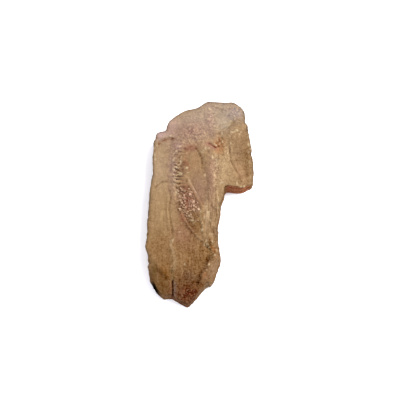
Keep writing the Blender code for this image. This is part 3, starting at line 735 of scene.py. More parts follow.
# %% Rock material
DUST_AND_SHADE_COLOUR = "#A8906E"  # what pale grains and painted highlight add to a stain, and what painted shade takes from it
NOISE_RANGE = (0.3, 0.7)  # nearly all of a noise texture lies between these
MOTTLE = (4.0, 6.0, 0.62)  # size in mm, detail and harshness
GRAIN_DETAIL = (3.0, 0.7)
MOTTLE_LEVELS = (0.84, 1.16)
GRAIN_LEVELS = (0.74, 1.30)
# painted shade with some dirt below the surroundings, painted highlight above them
CAVITY_SHADE_RANGE = (-0.40, 0.30)  # mm below and above the surroundings
CAVITY_SHADE_LEVELS = (0.72, 1.22)
DULL_SPREAD = 0.12  # how much the grain changes the roughness


def rock_material(name, grain_mm, roughness, bump):
    """Stains with mottling, grain, and painted shade and highlight over them, as strong as the ground is
    uneven.
    """
    material, tree, shader, place_in = new_material(name)
    tint, hollow, uneven = (
        node(tree, "ShaderNodeAttribute", {"attribute_name": key}).outputs[kind]
        for key, kind in (("stain", "Color"), ("relief", "Fac"), ("uneven", "Fac"))
    )
    mottle, grain = (
        node(tree, "ShaderNodeTexNoise", {}, {
            "Vector": place_in.outputs["Object"], "Scale": per_metre(size), "Detail": detail,
            "Roughness": harshness,
        }).outputs["Fac"]
        for size, detail, harshness in (MOTTLE, (grain_mm, *GRAIN_DETAIL))
    )
    mottle_level, grain_level, cavity_shade_level = (
        node(tree, "ShaderNodeMapRange", {}, {
            "Value": value, "From Min": low, "From Max": high, "To Min": dark, "To Max": bright,
        }).outputs["Result"]
        for value, (low, high), (dark, bright) in (
            (mottle, NOISE_RANGE, MOTTLE_LEVELS), (grain, NOISE_RANGE, GRAIN_LEVELS),
            (hollow, CAVITY_SHADE_RANGE, CAVITY_SHADE_LEVELS),
        )
    )
    more = mottle_level
    for operation, other in (
        ("MULTIPLY", grain_level), ("MULTIPLY", cavity_shade_level), ("SUBTRACT", 1.0), ("MULTIPLY", uneven),
    ):
        more = node(tree, "ShaderNodeMath", {"operation": operation}, {0: more, 1: other}).outputs[0]
    shaded = node(tree, "ShaderNodeVectorMath", {"operation": "MULTIPLY_ADD"}, {
        0: more, 1: tuple(linear(DUST_AND_SHADE_COLOUR) * REFLECTS), 2: tint})
    dull = node(tree, "ShaderNodeMapRange", {}, {
        "Value": grain, "To Min": roughness - DULL_SPREAD, "To Max": roughness + DULL_SPREAD})
    bumped = node(tree, "ShaderNodeBump", {}, {
        "Height": grain, "Distance": grain_mm * MM, "Strength": bump})
    for made, socket in ((shaded, "Base Color"), (dull, "Roughness"), (bumped, "Normal")):
        tree.links.new(made.outputs[0], shader.inputs[socket])
    shader.inputs["IOR"].default_value = 1.5  # a little under quartz sand's 1.54
    shader.inputs["Specular IOR Level"].default_value = 0.0  # loose sand has no gloss at all
    return material


# %% [markdown]
# ## Stains on the rock
# Water carried iron through the rock and left it in soft patches. Each stain is an oval with soft
# edges, and its edge strays a little. They are laid in order over one another: first the wide ones,
# then the smaller ones of the rock, then those of the shell.

# %% Stains
GROUND = "#B08E66"
STAINS = [  # colour, centre, reach, lean, strength
    ("#9C734A", (-5, -35), (60, 22), 0, 0.9),  # the lower half is browner
    ("#7A5022", (-8, -62), (60, 16), 0, 0.9),  # and the toe end browner still
    ("#C4AB94", (-5, 58), (24, 14), 15, 0.9),  # pinkish field above the shell
    ("#B29E8B", (22, 66), (16, 7), 0, 0.9),  # the cap
    ("#B9A291", (14, 71), (12, 4), 0, 0.6),  # its top shelf
    ("#D8B6B1", (-29, 49.5), (6, 3), 12, 0.95),  # pink lobes
    ("#D7B2A2", (-21, 56), (4, 6), 0, 0.8),
    ("#C5AB8D", (13, 60), (5, 8), 0, 0.8),  # the pale panel
    ("#B09A91", (26, 66), (4.6, 4), 0, 0.9),  # the lavender lump
    ("#AC887E", (8, 60), (2.6, 9), 0, 0.8),  # the pink band in the cap
    ("#9B7857", (27, 40), (10, 15), 0, 0.9),  # olive ground of the block
    ("#BF9F77", (17, 26), (6.5, 14), -18, 0.95),  # the pale wedge
    ("#8D6842", (34, 30), (4, 20), -5, 0.7),  # the block's right edge
    ("#C8AA8A", (-29, 25), (7, 20), 0, 0.6),  # the smooth left panel
    ("#BA976B", (-26, -12), (8, 20), 0, 0.6),
    ("#A67A5D", (-12, -24), (8, 9), 30, 0.8),  # pinkish ground below the hollow
    ("#A78766", (9, -10), (5, 20), 0, 0.7),  # the strip by the hollow
    ("#90602E", (-25.5, -52), (4.5, 7), 28, 0.85),  # the orange patch
    ("#74552B", (-32.5, -49), (2.4, 4.5), 0, 0.6),
    ("#C78956", (14, 41.5), (3.2, 5.5), 0, 0.95),  # rust round the hole
    ("#BF966F", (30, 22), (3.5, 8), 30, 0.8),  # the tan facet on the block
    ("#B3806D", (8, 41), (5, 1.8), -20, 0.8),  # rust along the crack
    ("#936A41", (-5, -45), (9, 14), 0, 0.7),  # the lower panel
    ("#91693F", (-29, -34), (8, 11), 0, 0.6),
    ("#71503D", (-5, -54), (8, 5), 0, 0.6),  # browner towards the toe
    ("#643218", (-9, -66), (12, 8), -8, 0.95),  # dark red toe
    ("#602D13", (-8, -69), (9, 6), -8, 0.8),
    ("#A88667", (9.5, -48), (5, 11), -24, 0.7),  # the lower right facet
    ("#81582C", (1, -46), (5, 12), -20, 0.6),  # the shade left of the dark step
    ("#7A5322", (6.8, -40.5), (2.4, 5.5), -24, 0.75),  # painted shade on the dark step
    ("#996239", (2, -53), (2.0, 8), -16, 0.75),
    ("#CBB8A1", (18, 58), (5, 5), -30, 0.6),  # pale greenish skin in the cap
    ("#A98765", (1.5, -17), (1.6, 8), 0, 0.6),
    ("#9B7041", (7, -33), (4, 4), 0, 0.7),  # the pit
    ("#7A5325", (6, -31.5), (2.4, 3), 35, 0.4),
    ("#A07B6B", (-7, 52), (15, 8), 10, 0.9),  # the shell: pink arc at its top
    ("#A98777", (-19.5, 25), (3.5, 20), 0, 0.9),  # pinkish outer row of ribs
    ("#815E47", (-13.5, 24), (3.4, 16), 5, 0.9),  # olive between the ribs
    ("#AE8763", (-4, 29), (5.5, 11), 8, 0.85),  # the almond
    ("#A06A59", (-7, 40), (6, 2.6), 0, 0.75),  # red over the almond
    ("#AB8383", (-15.5, 40.5), (3, 3.5), 0, 0.7),  # a lilac knob
    ("#9F7B65", (0, 10), (5, 12), 10, 0.8),
    ("#A8816B", (8, 18), (4, 18), 0, 0.8),  # the right flank
    ("#A9735A", (-8, 0), (7, 11), 25, 0.9),  # the reddish hollow
    ("#926A3F", (-3.8, -16), (5.2, 10.5), 22, 0.95),  # its olive floor
    ("#744E3E", (-11, -14), (2.4, 9), 33, 0.35),  # the red line on its left, with painted shade
    ("#C7A57F", (4.5, -12), (1.6, 14), -3, 0.9),  # its pale right rim
]
print(len(STAINS), "stains")

# %% [markdown]
# ## Seams, cracks and streaks
# Long thin marks are lines, not ovals: the dark seams round the almond and the hollow, partly painted
# shade, painted shadow at the feet of ledges and in grooves, painted highlights, painted light on slopes
# that lie in shade, cracks with earth in them, and streaks of pale calcite. Each is a path with a width.
# Noise breaks a thin line up, as dirt in a real crack is broken up, and leaves a broad one whole.

# %% Lines
LINES = [  # colour, width, strength and path
    # round the hollow and the almond, and along its seams: a dark red seam with painted shade over the
    # hollow's lower-left slope, painted shadow round the almond's top and right, and a painted highlight
    # along the ridge by the almond with painted shade on its left
    ("#7A543A", 1.7, 0.62, [(-16, 2), (-13.5, -4), (-11, -10), (-8.5, -15), (-5.5, -19.5), (-2, -24)]),
    ("#68432A", 1.3, 0.65, [
        (-17.6, 2), (-16, -3), (-14.4, -8.5), (-11.8, -14.5), (-7.5, -20.5), (-3, -25.6), (1.5, -29)]),
    ("#A86A50", 2.4, 0.5, [(-10, 13), (-10, 7), (-9, 1.5), (-11.5, -5.5), (-12.5, -12.5), (-11, -16.5)]),
    # painted shadow in the groove over the almond's top
    ("#7C4630", 1.1, 0.65, [(-12, 35), (-10.5, 37.5), (-8, 39.5), (-5, 40.5), (-2, 38.5)]),
    ("#9C644A", 1.3, 0.5, [(-8, 38), (-10, 34.5), (-10.8, 30), (-10.5, 25)]),
    # painted shadow in the groove along the almond's right edge
    ("#7C5028", 0.6, 0.55, [(-4, 40), (-2, 38.5), (0, 35.5), (1.5, 30.5), (1.7, 26.5), (1, 23)]),
    # painted highlight along the ridge by the almond
    ("#DDB89C", 0.5, 0.5, [(-9.5, 18.5), (-8, 15.5), (-4.5, 9.5), (-1.5, 4.5), (1.5, -1)]),
    # painted shade on that ridge's left
    ("#74462C", 0.5, 0.5, [(-10.5, 16.5), (-9, 13), (-6, 7.5), (-3, 2.5)]),
    # the left side: painted shadow at the pink lobes' foot, and painted shade in an arc and a groove
    ("#8C5834", 0.8, 0.85, [(-34, 35), (-32, 40.5), (-29, 44), (-25, 46.2), (-21, 46.8), (-17.5, 46)]),
    ("#84603A", 0.6, 0.45, [(-33.5, 9), (-31, 12), (-28, 14.5), (-24.5, 15), (-22.5, 14)]),
    ("#84603A", 0.5, 0.4, [(-24, 13), (-21, 2.5), (-22.5, -5.5), (-21, -16.5), (-19.5, -27)]),
    # the ridge below them, with shade beside it
    ("#AE8E68", 1.6, 0.6, [
        (-20.5, -26), (-21, -30), (-19.6, -35.8), (-18.2, -41.5), (-18.3, -47.5), (-20, -53)]),
    ("#BC9E78", 0.9, 0.35, [
        (-20.5, -27), (-20.8, -30.5), (-19.4, -36), (-18, -41.5), (-18.2, -47), (-19.5, -51.5)]),
    ("#6E5030", 0.5, 0.5, [(-22, -33), (-20.8, -37), (-19.4, -41.5), (-19.6, -47.5), (-21.2, -52.5)]),
    ("#68522F", 1.1, 0.55, [(-20.5, -49), (-19.5, -54), (-19, -58)]),
    # below the hollow's tip
    ("#64482A", 1.1, 0.6, [(-3, -25.6), (1, -28.7), (5, -31), (8, -33)]),
    # cracks in the toe and the lower left shoulder
    # painted highlight on the crack's right edge
    ("#8C7468", 0.9, 0.7, [(-17.8, -56), (-17.8, -62), (-17.8, -70)]),
    ("#AC7A5C", 0.9, 0.5, [(-21, -58), (-21, -64), (-21, -69)]),
    ("#4E3424", 0.75, 0.75, [(-19, -55.5), (-19.5, -60), (-19.5, -63.5), (-19.5, -70)]),
    ("#6E4620", 1.5, 0.95, [(-31, -48.5), (-28.5, -51.3), (-26, -53.8), (-22.3, -57.5)]),
    ("#7A5C2C", 0.6, 0.6, [(-33.5, -46.5), (-33, -50), (-32, -54)]),
    ("#B08C68", 0.5, 0.5, [(-30.5, -51), (-30.5, -55), (-30, -59)]),
    ("#A88458", 0.9, 0.5, [(-28, -56), (-24, -58), (-22.5, -60.5)]),
    # the block
    ("#74502E", 0.5, 0.6, [(21.5, 40), (21.5, 37), (22.2, 31), (24.7, 25.5), (28.5, 19.5), (31.5, 14.5)]),
    ("#7C5430", 0.8, 0.5, [(31.5, 30.5), (34, 25.5), (35, 19), (34.5, 14)]),
    ("#7C5A34", 0.5, 0.5, [(22.5, 30.5), (27.5, 31.5), (32.5, 31), (37, 28.5)]),
    # the cap and its edge, with painted shadow under two pale arcs
    ("#8C6A48", 0.5, 0.5, [(8, 71), (13, 69.5), (17.5, 68.5), (22, 69), (24.5, 70.5)]),
    ("#D0B490", 0.8, 0.5, [(8, 72.3), (13, 71), (17.5, 70.2), (22, 70.6)]),
    ("#D2BE9C", 0.6, 0.5, [(9.5, 55.2), (14.5, 57.8), (19, 58.8), (24, 59.8)]),
    ("#D2BE9C", 0.6, 0.4, [(10.5, 52.8), (15.5, 54.2), (19.5, 56.2), (23.5, 58.2)]),
    ("#96805E", 0.5, 0.45, [(9.5, 54), (14.5, 56.5), (19, 57.5), (24, 58.5)]),
    ("#96805E", 0.5, 0.4, [(10.5, 51.7), (15.5, 53), (19.5, 55), (23.5, 57)]),
    ("#8A6A44", 0.6, 0.5, [
        (9, 49), (12.5, 50), (16.5, 51.5), (20.5, 54), (23.5, 57.5), (27, 61), (31.5, 59)]),
    # painted shade on the dark step, and the bright rim over the notch
    ("#5A3C1E", 1.8, 0.8, [
        (10.4, -36), (8, -40), (5.4, -44.5), (3.4, -48.5), (1.4, -52), (-0.2, -56), (-2.2, -61.5)]),
    ("#D8A890", 0.5, 0.6, [(20, 11.2), (25.5, 11.2), (31, 11.2), (35.5, 13.2)]),
    # rust in the crack and the hole
    ("#9C4A2A", 0.6, 0.7, RUSTY_CRACK),
    ("#7A3A20", 0.8, 0.6, [(13, 47), (14.5, 44), (13.5, 41), (16, 39)]),
    # a pale edge on the left, and a red streak on the almond
    ("#DCC49C", 0.7, 0.7, [(-32.5, 42), (-33, 36), (-32.5, 30)]),
    ("#A05C48", 0.7, 0.4, [(-8.5, 32.5), (-8.5, 27), (-7, 22)]),
    # pale calcite streaks beside the hollow, and painted light on the hollow's right slope, which lies in
    # shade
    ("#D4B888", 0.5, 0.4, [(13, 9.5), (12.8, 4), (12.6, 0)]),
    ("#B8905C", 0.9, 0.5, [(1, 0), (1.9, -8), (2.3, -15), (2.8, -21), (3.6, -27)]),
    ("#E0B884", 0.6, 0.7, [(0.5, -6.5), (0.8, -12.5), (1.5, -17)]),
    ("#C8AC80", 0.5, 0.4, [(7, -9), (7.5, -14)]),
    # the pit
    ("#4E3A1A", 1.1, 0.75, [(3.4, -30.5), (5.8, -33), (8.2, -36)]),
    ("#C87848", 0.6, 0.6, [(8.6, -32.4), (10.4, -34.4), (11.8, -36.6)]),
    # the shell's right flank, with painted light on its seam, which lies in shade, the strip below it and
    # the pale wedge
    ("#B8927A", 1.8, 0.6, [(10.8, 33), (11.2, 25), (11, 14)]),
    ("#7C5C38", 0.5, 0.5, [(11.7, 31), (11.5, 20.5), (12, 14)]),
    ("#86643C", 0.5, 0.5, [(11.5, 6), (13, -1), (12.3, -8), (12, -14)]),
    ("#86643C", 0.5, 0.5, [(6, 6), (6.5, -1), (6.5, -8)]),
    ("#DCC8A8", 0.6, 0.6, [(14, 13), (17.5, 14.5), (19.5, 14)]),
]
RIB_GROOVE_SHADE = [(-15.5, 21.5), (-15, 18.5), (-16, 16.2), (-15.5, 13), (-16, 10.2)]  # painted shade, olive, in the grooves between ribs
LINES += [("#74562E", 0.7, 0.55, [(x - 1.8, y + 0.2), (x, y), (x + 1.8, y - 0.2)]) for x, y in RIB_GROOVE_SHADE]
LINE_ENDS = 0.1  # lines die out over this share of their length at each end
LINE_BREAK, LINE_BREAK_SIZE = 1.3, 1.6  # how strongly a thin line is broken up, and how finely
THIN_LINE = 0.7  # lines wider than this are broken up less
LINE_MEAN, LINE_MOST = 0.8, 1.3  # how much of its strength shows, on the average and at most
print(len(LINES), "lines")

# %% [markdown]
# ## Specks, rust and weathered rim
# Close up, the stone is speckled: pale grains and dark gaps over the stains, drawn out into streaks
# where the relief is streaked. Rust bits sit where it broke. The broken rim has a darker weathered skin,
# and low on one shoulder it is painted black as the shadow of an undercut. All of these are noise or
# soft bands, because nobody can tell one speck from another.

# %% Specks, rust and rim
SPECKLE = [  # patches, strength, size across or along each axis, layers and seed
    (None, 0.09, 2.4, 3, 51),
    (None, 0.12, 1.1, 2, 52),
    (STREAKED, 0.20, (0.9, 6.0), 2, 53),
    (STRIATED, 0.55, (0.65, 4.0), 2, 58),
    (GRITTY, 0.30, 0.9, 1, 56),
]
KNOB_SPECKLE, KNOB_SPECKLE_SIZE = 0.85, 1.5  # knobbly ground gets more pale specks, and no dark ones
CALCITE_COLOUR = "#EAD2A8"
PALENESS = 0.8  # how much of a lump is calcite
# painted shade in the pits: they are this share darker
PIT_SHADE = 0.3
RUST_COLOUR = "#A8704A"
RUSTY = [
    ((-6, -65), (8, 5.5), -8),  # the toe
    RUSTY_HOLE,
    ((10.5, -37), (2.5, 3), 0),  # under the pit
    ((6, -47), (1.8, 10), -24),  # beside the dark step
]
RUST_SIZE = 2.1
RUST_SHARPNESS, RUST_START, RUST_MOST = 2.6, 0.25, 0.65
# painted black shadow of the undercut on the lower left shoulder
UNDERCUT_SHADOW_COLOUR = "#0C0806"
RIM_COLOUR = "#5E4838"  # weathered skin along the broken rim
RIM_WIDTH, RIM_STRENGTH = 1.4, 0.8
CLEAN_RIM = [((9, -54), (8, 18), -24)]  # fresh along the lower right facet
CLEANED = 0.8  # how much of the skin is gone there


# %% The colour of the top
def with_rim(xy, colour):
    """The weathered skin laid over a colour along the rim."""
    inward = np.maximum(depth_inside(xy, SLAB_LOOP), 0)
    felt = RIM_STRENGTH * np.exp(-((inward / RIM_WIDTH) ** 2))
    return laid_over(colour, linear(RIM_COLOUR), felt * (1 - CLEANED * kind_of_ground(xy, CLEAN_RIM)))


def with_lines(xy, colour):
    """The seams, cracks and streaks laid over a colour."""
    breaks = LINE_BREAK * rough(xy, LINE_BREAK_SIZE, 2, seed=24)
    for hex_colour, width, strength, path in LINES:
        distance, _, part = follow(xy, smooth_curve(path, closed=False))
        felt = strength * faded(part, LINE_ENDS) * np.exp(-(distance / width) ** 2)
        broken = LINE_MEAN + breaks / max(1, width / THIN_LINE) ** 2
        colour = laid_over(colour, linear(hex_colour), felt * np.clip(broken, 0, LINE_MOST))
    return colour


def top_colour(xy):
    """The colour of the top, rock and shell alike, so that no line shows where they meet."""
    colour = with_lines(xy, with_rim(xy, stained(xy, GROUND, STAINS)))
    knobs = np.maximum(rough(xy, KNOB_SPECKLE_SIZE, 2, seed=54), 0)
    speckle = layered(xy, SPECKLE) + KNOB_SPECKLE * kind_of_ground(xy, KNOBBLY) * knobs
    colour = colour + speckle[:, None] * linear(DUST_AND_SHADE_COLOUR)
    rust = np.clip(RUST_SHARPNESS * rough(xy, RUST_SIZE, 2, seed=57) - RUST_START, 0, RUST_MOST)
    colour = laid_over(colour, linear(RUST_COLOUR), rust * kind_of_ground(xy, RUSTY))
    # painted black shadow of the undercut along the rim
    colour = laid_over(colour, linear(UNDERCUT_SHADOW_COLOUR), undercut_shadow(xy))
    colour = laid_over(colour, linear(CALCITE_COLOUR), PALENESS * spots_felt(xy, PALE_LUMPS))
    # painted shade in the pits
    return colour * (1 - PIT_SHADE * spots_felt(xy, DARK_PITS))[:, None]


# %% [markdown]
# ## The slab
# The real slab is one broken piece of bedded rock. A box could be subdivided and displaced, but then
# the sides would be stretched, so top and side are made apart and share their rim. The top is a
# honeycomb of points less than half a millimetre apart. The side is rows of points from the rim down,
# with each bed standing in or out a little and rounded where it weathered. The pocket under the shell
# is there too, out of sight.

# %% The slab's side
WALL_STEP = 0.5
NOMINAL_HEIGHT = 20  # stands for the rim's height until that is known
WALL = [  # share of the height, inset from the outline, more of it where the wall faces -Y
    (1.00, 0.35, 2.2), (0.82, 0.1, 1.8), (0.62, 0.2, 1.3), (0.52, 0.0, 1.0), (0.27, 0.1, 0.5),
    (0.12, 0.2, 0.0), (0.00, 1.0, -0.8),
]
WALL_FADES = (0.1, 0.06)  # beds fade out over these shares of the height, at the underside and the rim
WALL_RELIEF = [(None, 0.30, 2.2, 3, 33), (None, 0.5, 9.0, 2, 34)]
MOST_OUT = 0.7  # how far a bed may stand out of the outline
BEDS = [0, 1.9, 4.1, 5.4, 8.2, 9.6, 12.3, 14.4, 15.6, 18.3, 20.2, 30]  # heights where beds part
BED_WANDER = 0.7  # the joints between beds rise and fall by this much
BED_WANDER_RUN, BED_WANDER_RISE = 16, 30  # over about so far round the slab, and up it
BED_STANDS, BED_LENGTH = 0.55, 7  # how far a bed stands in or out, and for how far round
BED_APART = 5.0  # keeps the noise of one bed from looking like its neighbour's
BED_ROUNDING = 0.35


def bed_setback(run, height):
    """How far a bed is broken back, by the distance round the slab and the height, in mm."""
    along = np.column_stack([run / BED_WANDER_RUN, height / BED_WANDER_RISE])
    wavy = height + BED_WANDER * rough(along, 1.0, 2, seed=31)
    bed = np.clip(np.searchsorted(BEDS, wavy, side="right") - 1, 0, len(BEDS) - 2)
    low, high = np.array(BEDS, float)[bed], np.array(BEDS, float)[bed + 1]
    inside_bed = np.clip((wavy - low) / (high - low), 0, 1)
    stands = rough(np.column_stack([run / BED_LENGTH, bed * BED_APART]), 1.0, 2, seed=32)
    return BED_STANDS * stands + BED_ROUNDING * (2 * inside_bed - 1) ** 4


def wall_point(edge, out, run, height, share):
    """Where the wall stands in plan, moved in from the outline or out of it."""
    at, inset, more = np.array(WALL[::-1], float).T
    inset = np.interp(share, at, inset) + np.interp(share, at, more) * np.maximum(-out[:, 1], 0)
    broken = bed_setback(run, height) + layered(np.column_stack([edge, height]), WALL_RELIEF)
    inset = np.maximum(inset, 0) + faded(share, *WALL_FADES) * broken
    return edge - out * np.maximum(inset, -MOST_OUT)[:, None]


# %% Build the slab
TOP_STEP = 0.45
TOP_CLEAR = 0.55  # how far from the rim the honeycomb starts, in steps
UNDER_STEP = 1.6
UNDER_CLEAR = 0.6
UNDER_HOLLOWS = 0.25  # the underside is flat, with shallow hollows
UNDER_HOLLOW_SIZE = 5.0
POCKET_INSET = 1.0


def build_slab():
    """The wall as rings from the rim down, then the underside and the top as honeycombs."""
    shape = Shape()
    length = np.hypot(*np.diff(SLAB_LOOP, axis=0).T).sum()
    edge = around(SLAB_LOOP, round(length / WALL_STEP))
    out = outward(edge)
    run = np.linspace(0, length, len(edge), endpoint=False)
    full = np.ones(len(edge))
    rim_xy = wall_point(edge, out, run, NOMINAL_HEIGHT * full, full)
    rim_height = rock_form(rim_xy) + fine_relief(rim_xy)
    rings = [shape.add(rim_xy, rim_height)]
    rows = round(rim_height.mean() / WALL_STEP)
    for row in range(1, rows + 1):
        share = 1 - row / rows
        height = rim_height * share
        rings.append(shape.add(wall_point(edge, out, run, height, share * full), height))
    for ring, other in zip(rings, rings[1:]):
        shape.band(ring, other)
    under = honeycomb(shape.points[rings[-1], :2], UNDER_STEP, UNDER_STEP * UNDER_CLEAR)
    lift = UNDER_HOLLOWS * np.maximum(rough(under, UNDER_HOLLOW_SIZE, 3, seed=35), 0)
    shape.fill(rings[-1], under, lift)
    top = honeycomb(rim_xy, TOP_STEP, TOP_STEP * TOP_CLEAR)
    shape.fill(rings[0], top, rock_form(top) + fine_relief(top) - pocket_depth(top, POCKET_INSET))
    return shape, rings, len(shape.points) - len(top)


slab_shape, slab_rings, slab_top_start = build_slab()
slab_mesh = slab_shape.mesh("rock_slab")
print("slab:", len(slab_mesh.polygons), "faces")

# %% [markdown]
# ## The colour of the side
# The broken side shows the rock itself, banded bed by bed. The toe is dark red, the lower right side is
# painted paler, as painted light on a wall that lies in shade, and the wall of the notch is rusty, with
# stronger bands. The bands are noise that is long along the beds and short across them. The top's
# colours reach a few rows down, so that no hard line runs along the rim.

# %% Colour the slab
WALL_COLOUR = "#946C48"
WALL_STAINS = [
    ("#704834", (-10, -70), (16, 14), 0, 0.95),  # the toe
    ("#A08060", (6, -60), (9, 12), -40, 0.9),  # the lower right side, paler: painted light on a wall in shade
    ("#7A5434", (16, -34), (5, 16), 0, 0.6),
    ("#947052", (-32, -62), (8, 10), 30, 0.8),  # the lower left shoulder
]
NOTCH_COLOUR = "#AC6C4A"
NOTCH_FROM, NOTCH_FROM_EDGE = 18.5, 2  # x where the notch's wall starts, and how softly
NOTCH_TO, NOTCH_TO_EDGE = 38.5, 4
NOTCH_Y, NOTCH_REACH = 11.5, 4.5
UNDERSIDE_COLOUR = "#927052"
TOP_ROWS = 5  # rows of the wall over which the top's colours give way
BAND_SIZE, BAND_LENGTH = 1.1, 30  # bands are 1.1 mm high, and so many times as long
BAND_CONTRAST, NOTCH_CONTRAST = 0.22, 0.75
SEAM_CLEAR = 1.0  # painted shade with dirt in low places and painted highlight on high places stop this far outside the shell


def side_colour(xy, height):
    """The colour of the broken side, with its bands, its painted black undercut shadow and the wall of
    the notch.
    """
    bands = rough(np.column_stack([xy[:, 0] / BAND_LENGTH, height]), BAND_SIZE, 2, seed=41)[:, None]
    colour = stained(xy, WALL_COLOUR, WALL_STAINS) * (1 + BAND_CONTRAST * bands)
    # painted black shadow of the undercut on the side
    colour = laid_over(colour, linear(UNDERCUT_SHADOW_COLOUR), patch(xy, *UNDERCUT_SHADOW))
    x, y = xy.T
    notch = eased((x - NOTCH_FROM) / NOTCH_FROM_EDGE) * eased((NOTCH_TO - x) / NOTCH_TO_EDGE)
    notch *= np.abs(y - NOTCH_Y) < NOTCH_REACH
    return laid_over(colour, linear(NOTCH_COLOUR) * (1 + NOTCH_CONTRAST * bands), notch)


def colour_slab(mesh, shape, rings, top_start):
    """Colours the top, the side and the underside."""
    xy = shape.points[:, :2]
    side = np.zeros(len(xy))
    for row, ring in enumerate(rings):
        side[ring] = eased((row - 1) / TOP_ROWS)
    under = np.ones(len(xy), bool)
    under[np.concatenate(rings)] = False
    under[top_start:] = False
    colour = laid_over(top_colour(xy), side_colour(xy, shape.points[:, 2]), side)
    colour[under] = linear(UNDERSIDE_COLOUR)
    outside = eased(-depth_inside(xy, SHELL_LOOP) - SEAM_CLEAR)
    keep_ground(mesh, xy, colour, outside, rounds=6)


colour_slab(slab_mesh, slab_shape, slab_rings, slab_top_start)
slab = place(slab_mesh, rock_material(
    "iron_stained_sandy_limestone", grain_mm=1.0, roughness=0.82, bump=0.48))
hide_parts("matrix")
print("slab coloured with", slab.data.materials[0].name)

# %% [markdown]
# ## The shell
# The shell is a coiled tube, flattened by the rock over it: a ribbed whorl round a smooth almond. The
# ribs lie almost level, 2.7 mm apart, and every two of them end in one knob. Ribs could be swept as
# separate tubes, but real ones swell out of one surface, so they are a wave in its height. At the lower
# end the chamber where the animal lived is broken open. That hollow is an outline of its own, sunk into
# the rest.

# %% The ribs' sizes
RIB_SPACING = 2.7
RIB_TILT = 0.10  # ribs drop a little towards the middle of the shell
KNOBS_FROM = 0.70  # how far out each pair of ribs ends in one knob
RIB_HEIGHT = 0.55
# Each list below holds pairs: how far round or how far out, from 0 to 1, and a height or a share there.
RIB_STRENGTH = [  # round the shell
    (0, 0), (0.17, 0), (0.21, 0.9), (0.32, 1), (0.36, 0.5), (0.42, 0.4), (0.46, 0.1), (0.78, 0.08),
    (0.85, 0), (1, 0),
]
# The whorl's height from the almond out, and how full it is round the shell.
WHORL = [(0, -0.4), (0.12, 0.1), (0.35, 0.9), (0.65, 1.0), (0.85, 0.55), (0.95, 0.12), (1, 0)]
WHORL_FULL = [(0, 0.3), (0.17, 0.35), (0.23, 1), (0.8, 1), (0.9, 0.5), (1, 0.3)]
# How strong the ribs are from the almond out, and the almond's height from its spine out.
RIB_REACH = [(0, 0), (0.12, 0.2), (0.35, 0.9), (0.78, 1.3), (0.93, 0.7), (1, 0)]
ALMOND = [(0, -0.1), (0.6, -0.3), (0.85, -0.6), (1, -0.4)]
GROOVE = 0.22  # width of the groove between ribs, as a share of a rib
GROOVE_DEPTH, RIB_CREST = 1.5, 0.35  # as shares of a rib's height
RIB_WANDER = 0.5  # how far ribs stray, as a share of their spacing
RIB_WANDER_SIZE = 6.0
KNOB_EDGE = 0.1
GROOVE_DEPTHS = (0.35, 1.25)  # the shallowest and the deepest, as shares of GROOVE_DEPTH
RIBS_DRAWN = 64
rib_chance = random.Random(SEED)
EACH_RIB = np.array([rib_chance.uniform(*GROOVE_DEPTHS) for _ in range(RIBS_DRAWN)])
RIM_TUCK = 0.4  # the rim is tucked under the rock, which makes the seam a natural crease
TUCK_FROM = 0.95
print(RIB_SPACING, "mm from rib to rib")


# %% The height of the whorl
def rib_wave(phase):
    """The height across ribs, a whole number apart, with a groove of its own depth before each."""
    number = np.floor(phase).astype(int)
    across = np.abs(phase - number - 0.5) * 2
    groove = np.exp(-(((1 - across) / (2 * GROOVE)) ** 2))
    return RIB_CREST - EACH_RIB[number % len(EACH_RIB)] * GROOVE_DEPTH * groove


def whorl_relief(xy, turn, out):
    """The height of the outer whorl over the rock, with its ribs and their knobs."""
    phase = (xy[:, 1] + RIB_TILT * xy[:, 0]) / RIB_SPACING
    phase += RIB_WANDER * rough(xy, RIB_WANDER_SIZE, 2, seed=26)
    knobs = eased((out - KNOBS_FROM) / KNOB_EDGE)
    wave = rib_wave(phase) * (1 - knobs) + rib_wave(phase / 2) * knobs
    strength = np.interp(turn, *np.transpose(RIB_STRENGTH)) * through(out, RIB_REACH)
    full = np.interp(turn, *np.transpose(WHORL_FULL))
    relief = full * through(out, WHORL) + RIB_HEIGHT * strength * wave
    return relief - RIM_TUCK * eased((out - TUCK_FROM) / (1 - TUCK_FROM))


# %% The hollow
HOLLOW = [
    (4.4, -31), (1, -28.8), (-2.8, -25.6), (-7, -20.6), (-11, -14.2), (-14.6, -7), (-17.6, 0), (-19, 6),
    (-16, 10.5), (-11.5, 12), (-7.5, 12), (-5, 9.5), (-3, 5.5), (-1, 1.5), (1.3, -3), (2.2, -9),
    (2.4, -14.8), (2.9, -20.6), (3.7, -26.5),
]
HOLLOW_FLOOR = [(-34, 0.4), (-20, 0.7), (-8, 1.4), (2, 1.3), (12, 0.8)]  # y and the floor's depth
HOLLOW_SLOPE = 2.6  # how wide the slope from its edge to its floor is
HOLLOW_LOOP = smooth_curve(HOLLOW)
print("hollow", np.ptp(HOLLOW_LOOP, axis=0).round(1), "mm")


def sunk(xy, relief):
    """The shell's height over the rock with the hollow sunk into it."""
    open_part = eased(depth_inside(xy, HOLLOW_LOOP) / HOLLOW_SLOPE)
    return relief * (1 - open_part) - through(xy[:, 1], HOLLOW_FLOOR) * open_part


# %% Build the shell
SHELL_COLUMNS = 1000
WHORL_ROWS = 56
ALMOND_ROWS = 20
UNDER_ROWS = 12
FIRST_UNDER = 0.98  # the rows of the underside run from this share of the spokes
SMALLEST_RING = 0.04  # to this one
UNDER_LIFT = 0.2  # less than RIM_TUCK, so that the underside beds into the pocket
SPINE = [(-1.5, 9.5), (-4, 33.5)]  # the line that the almond's rows close in on


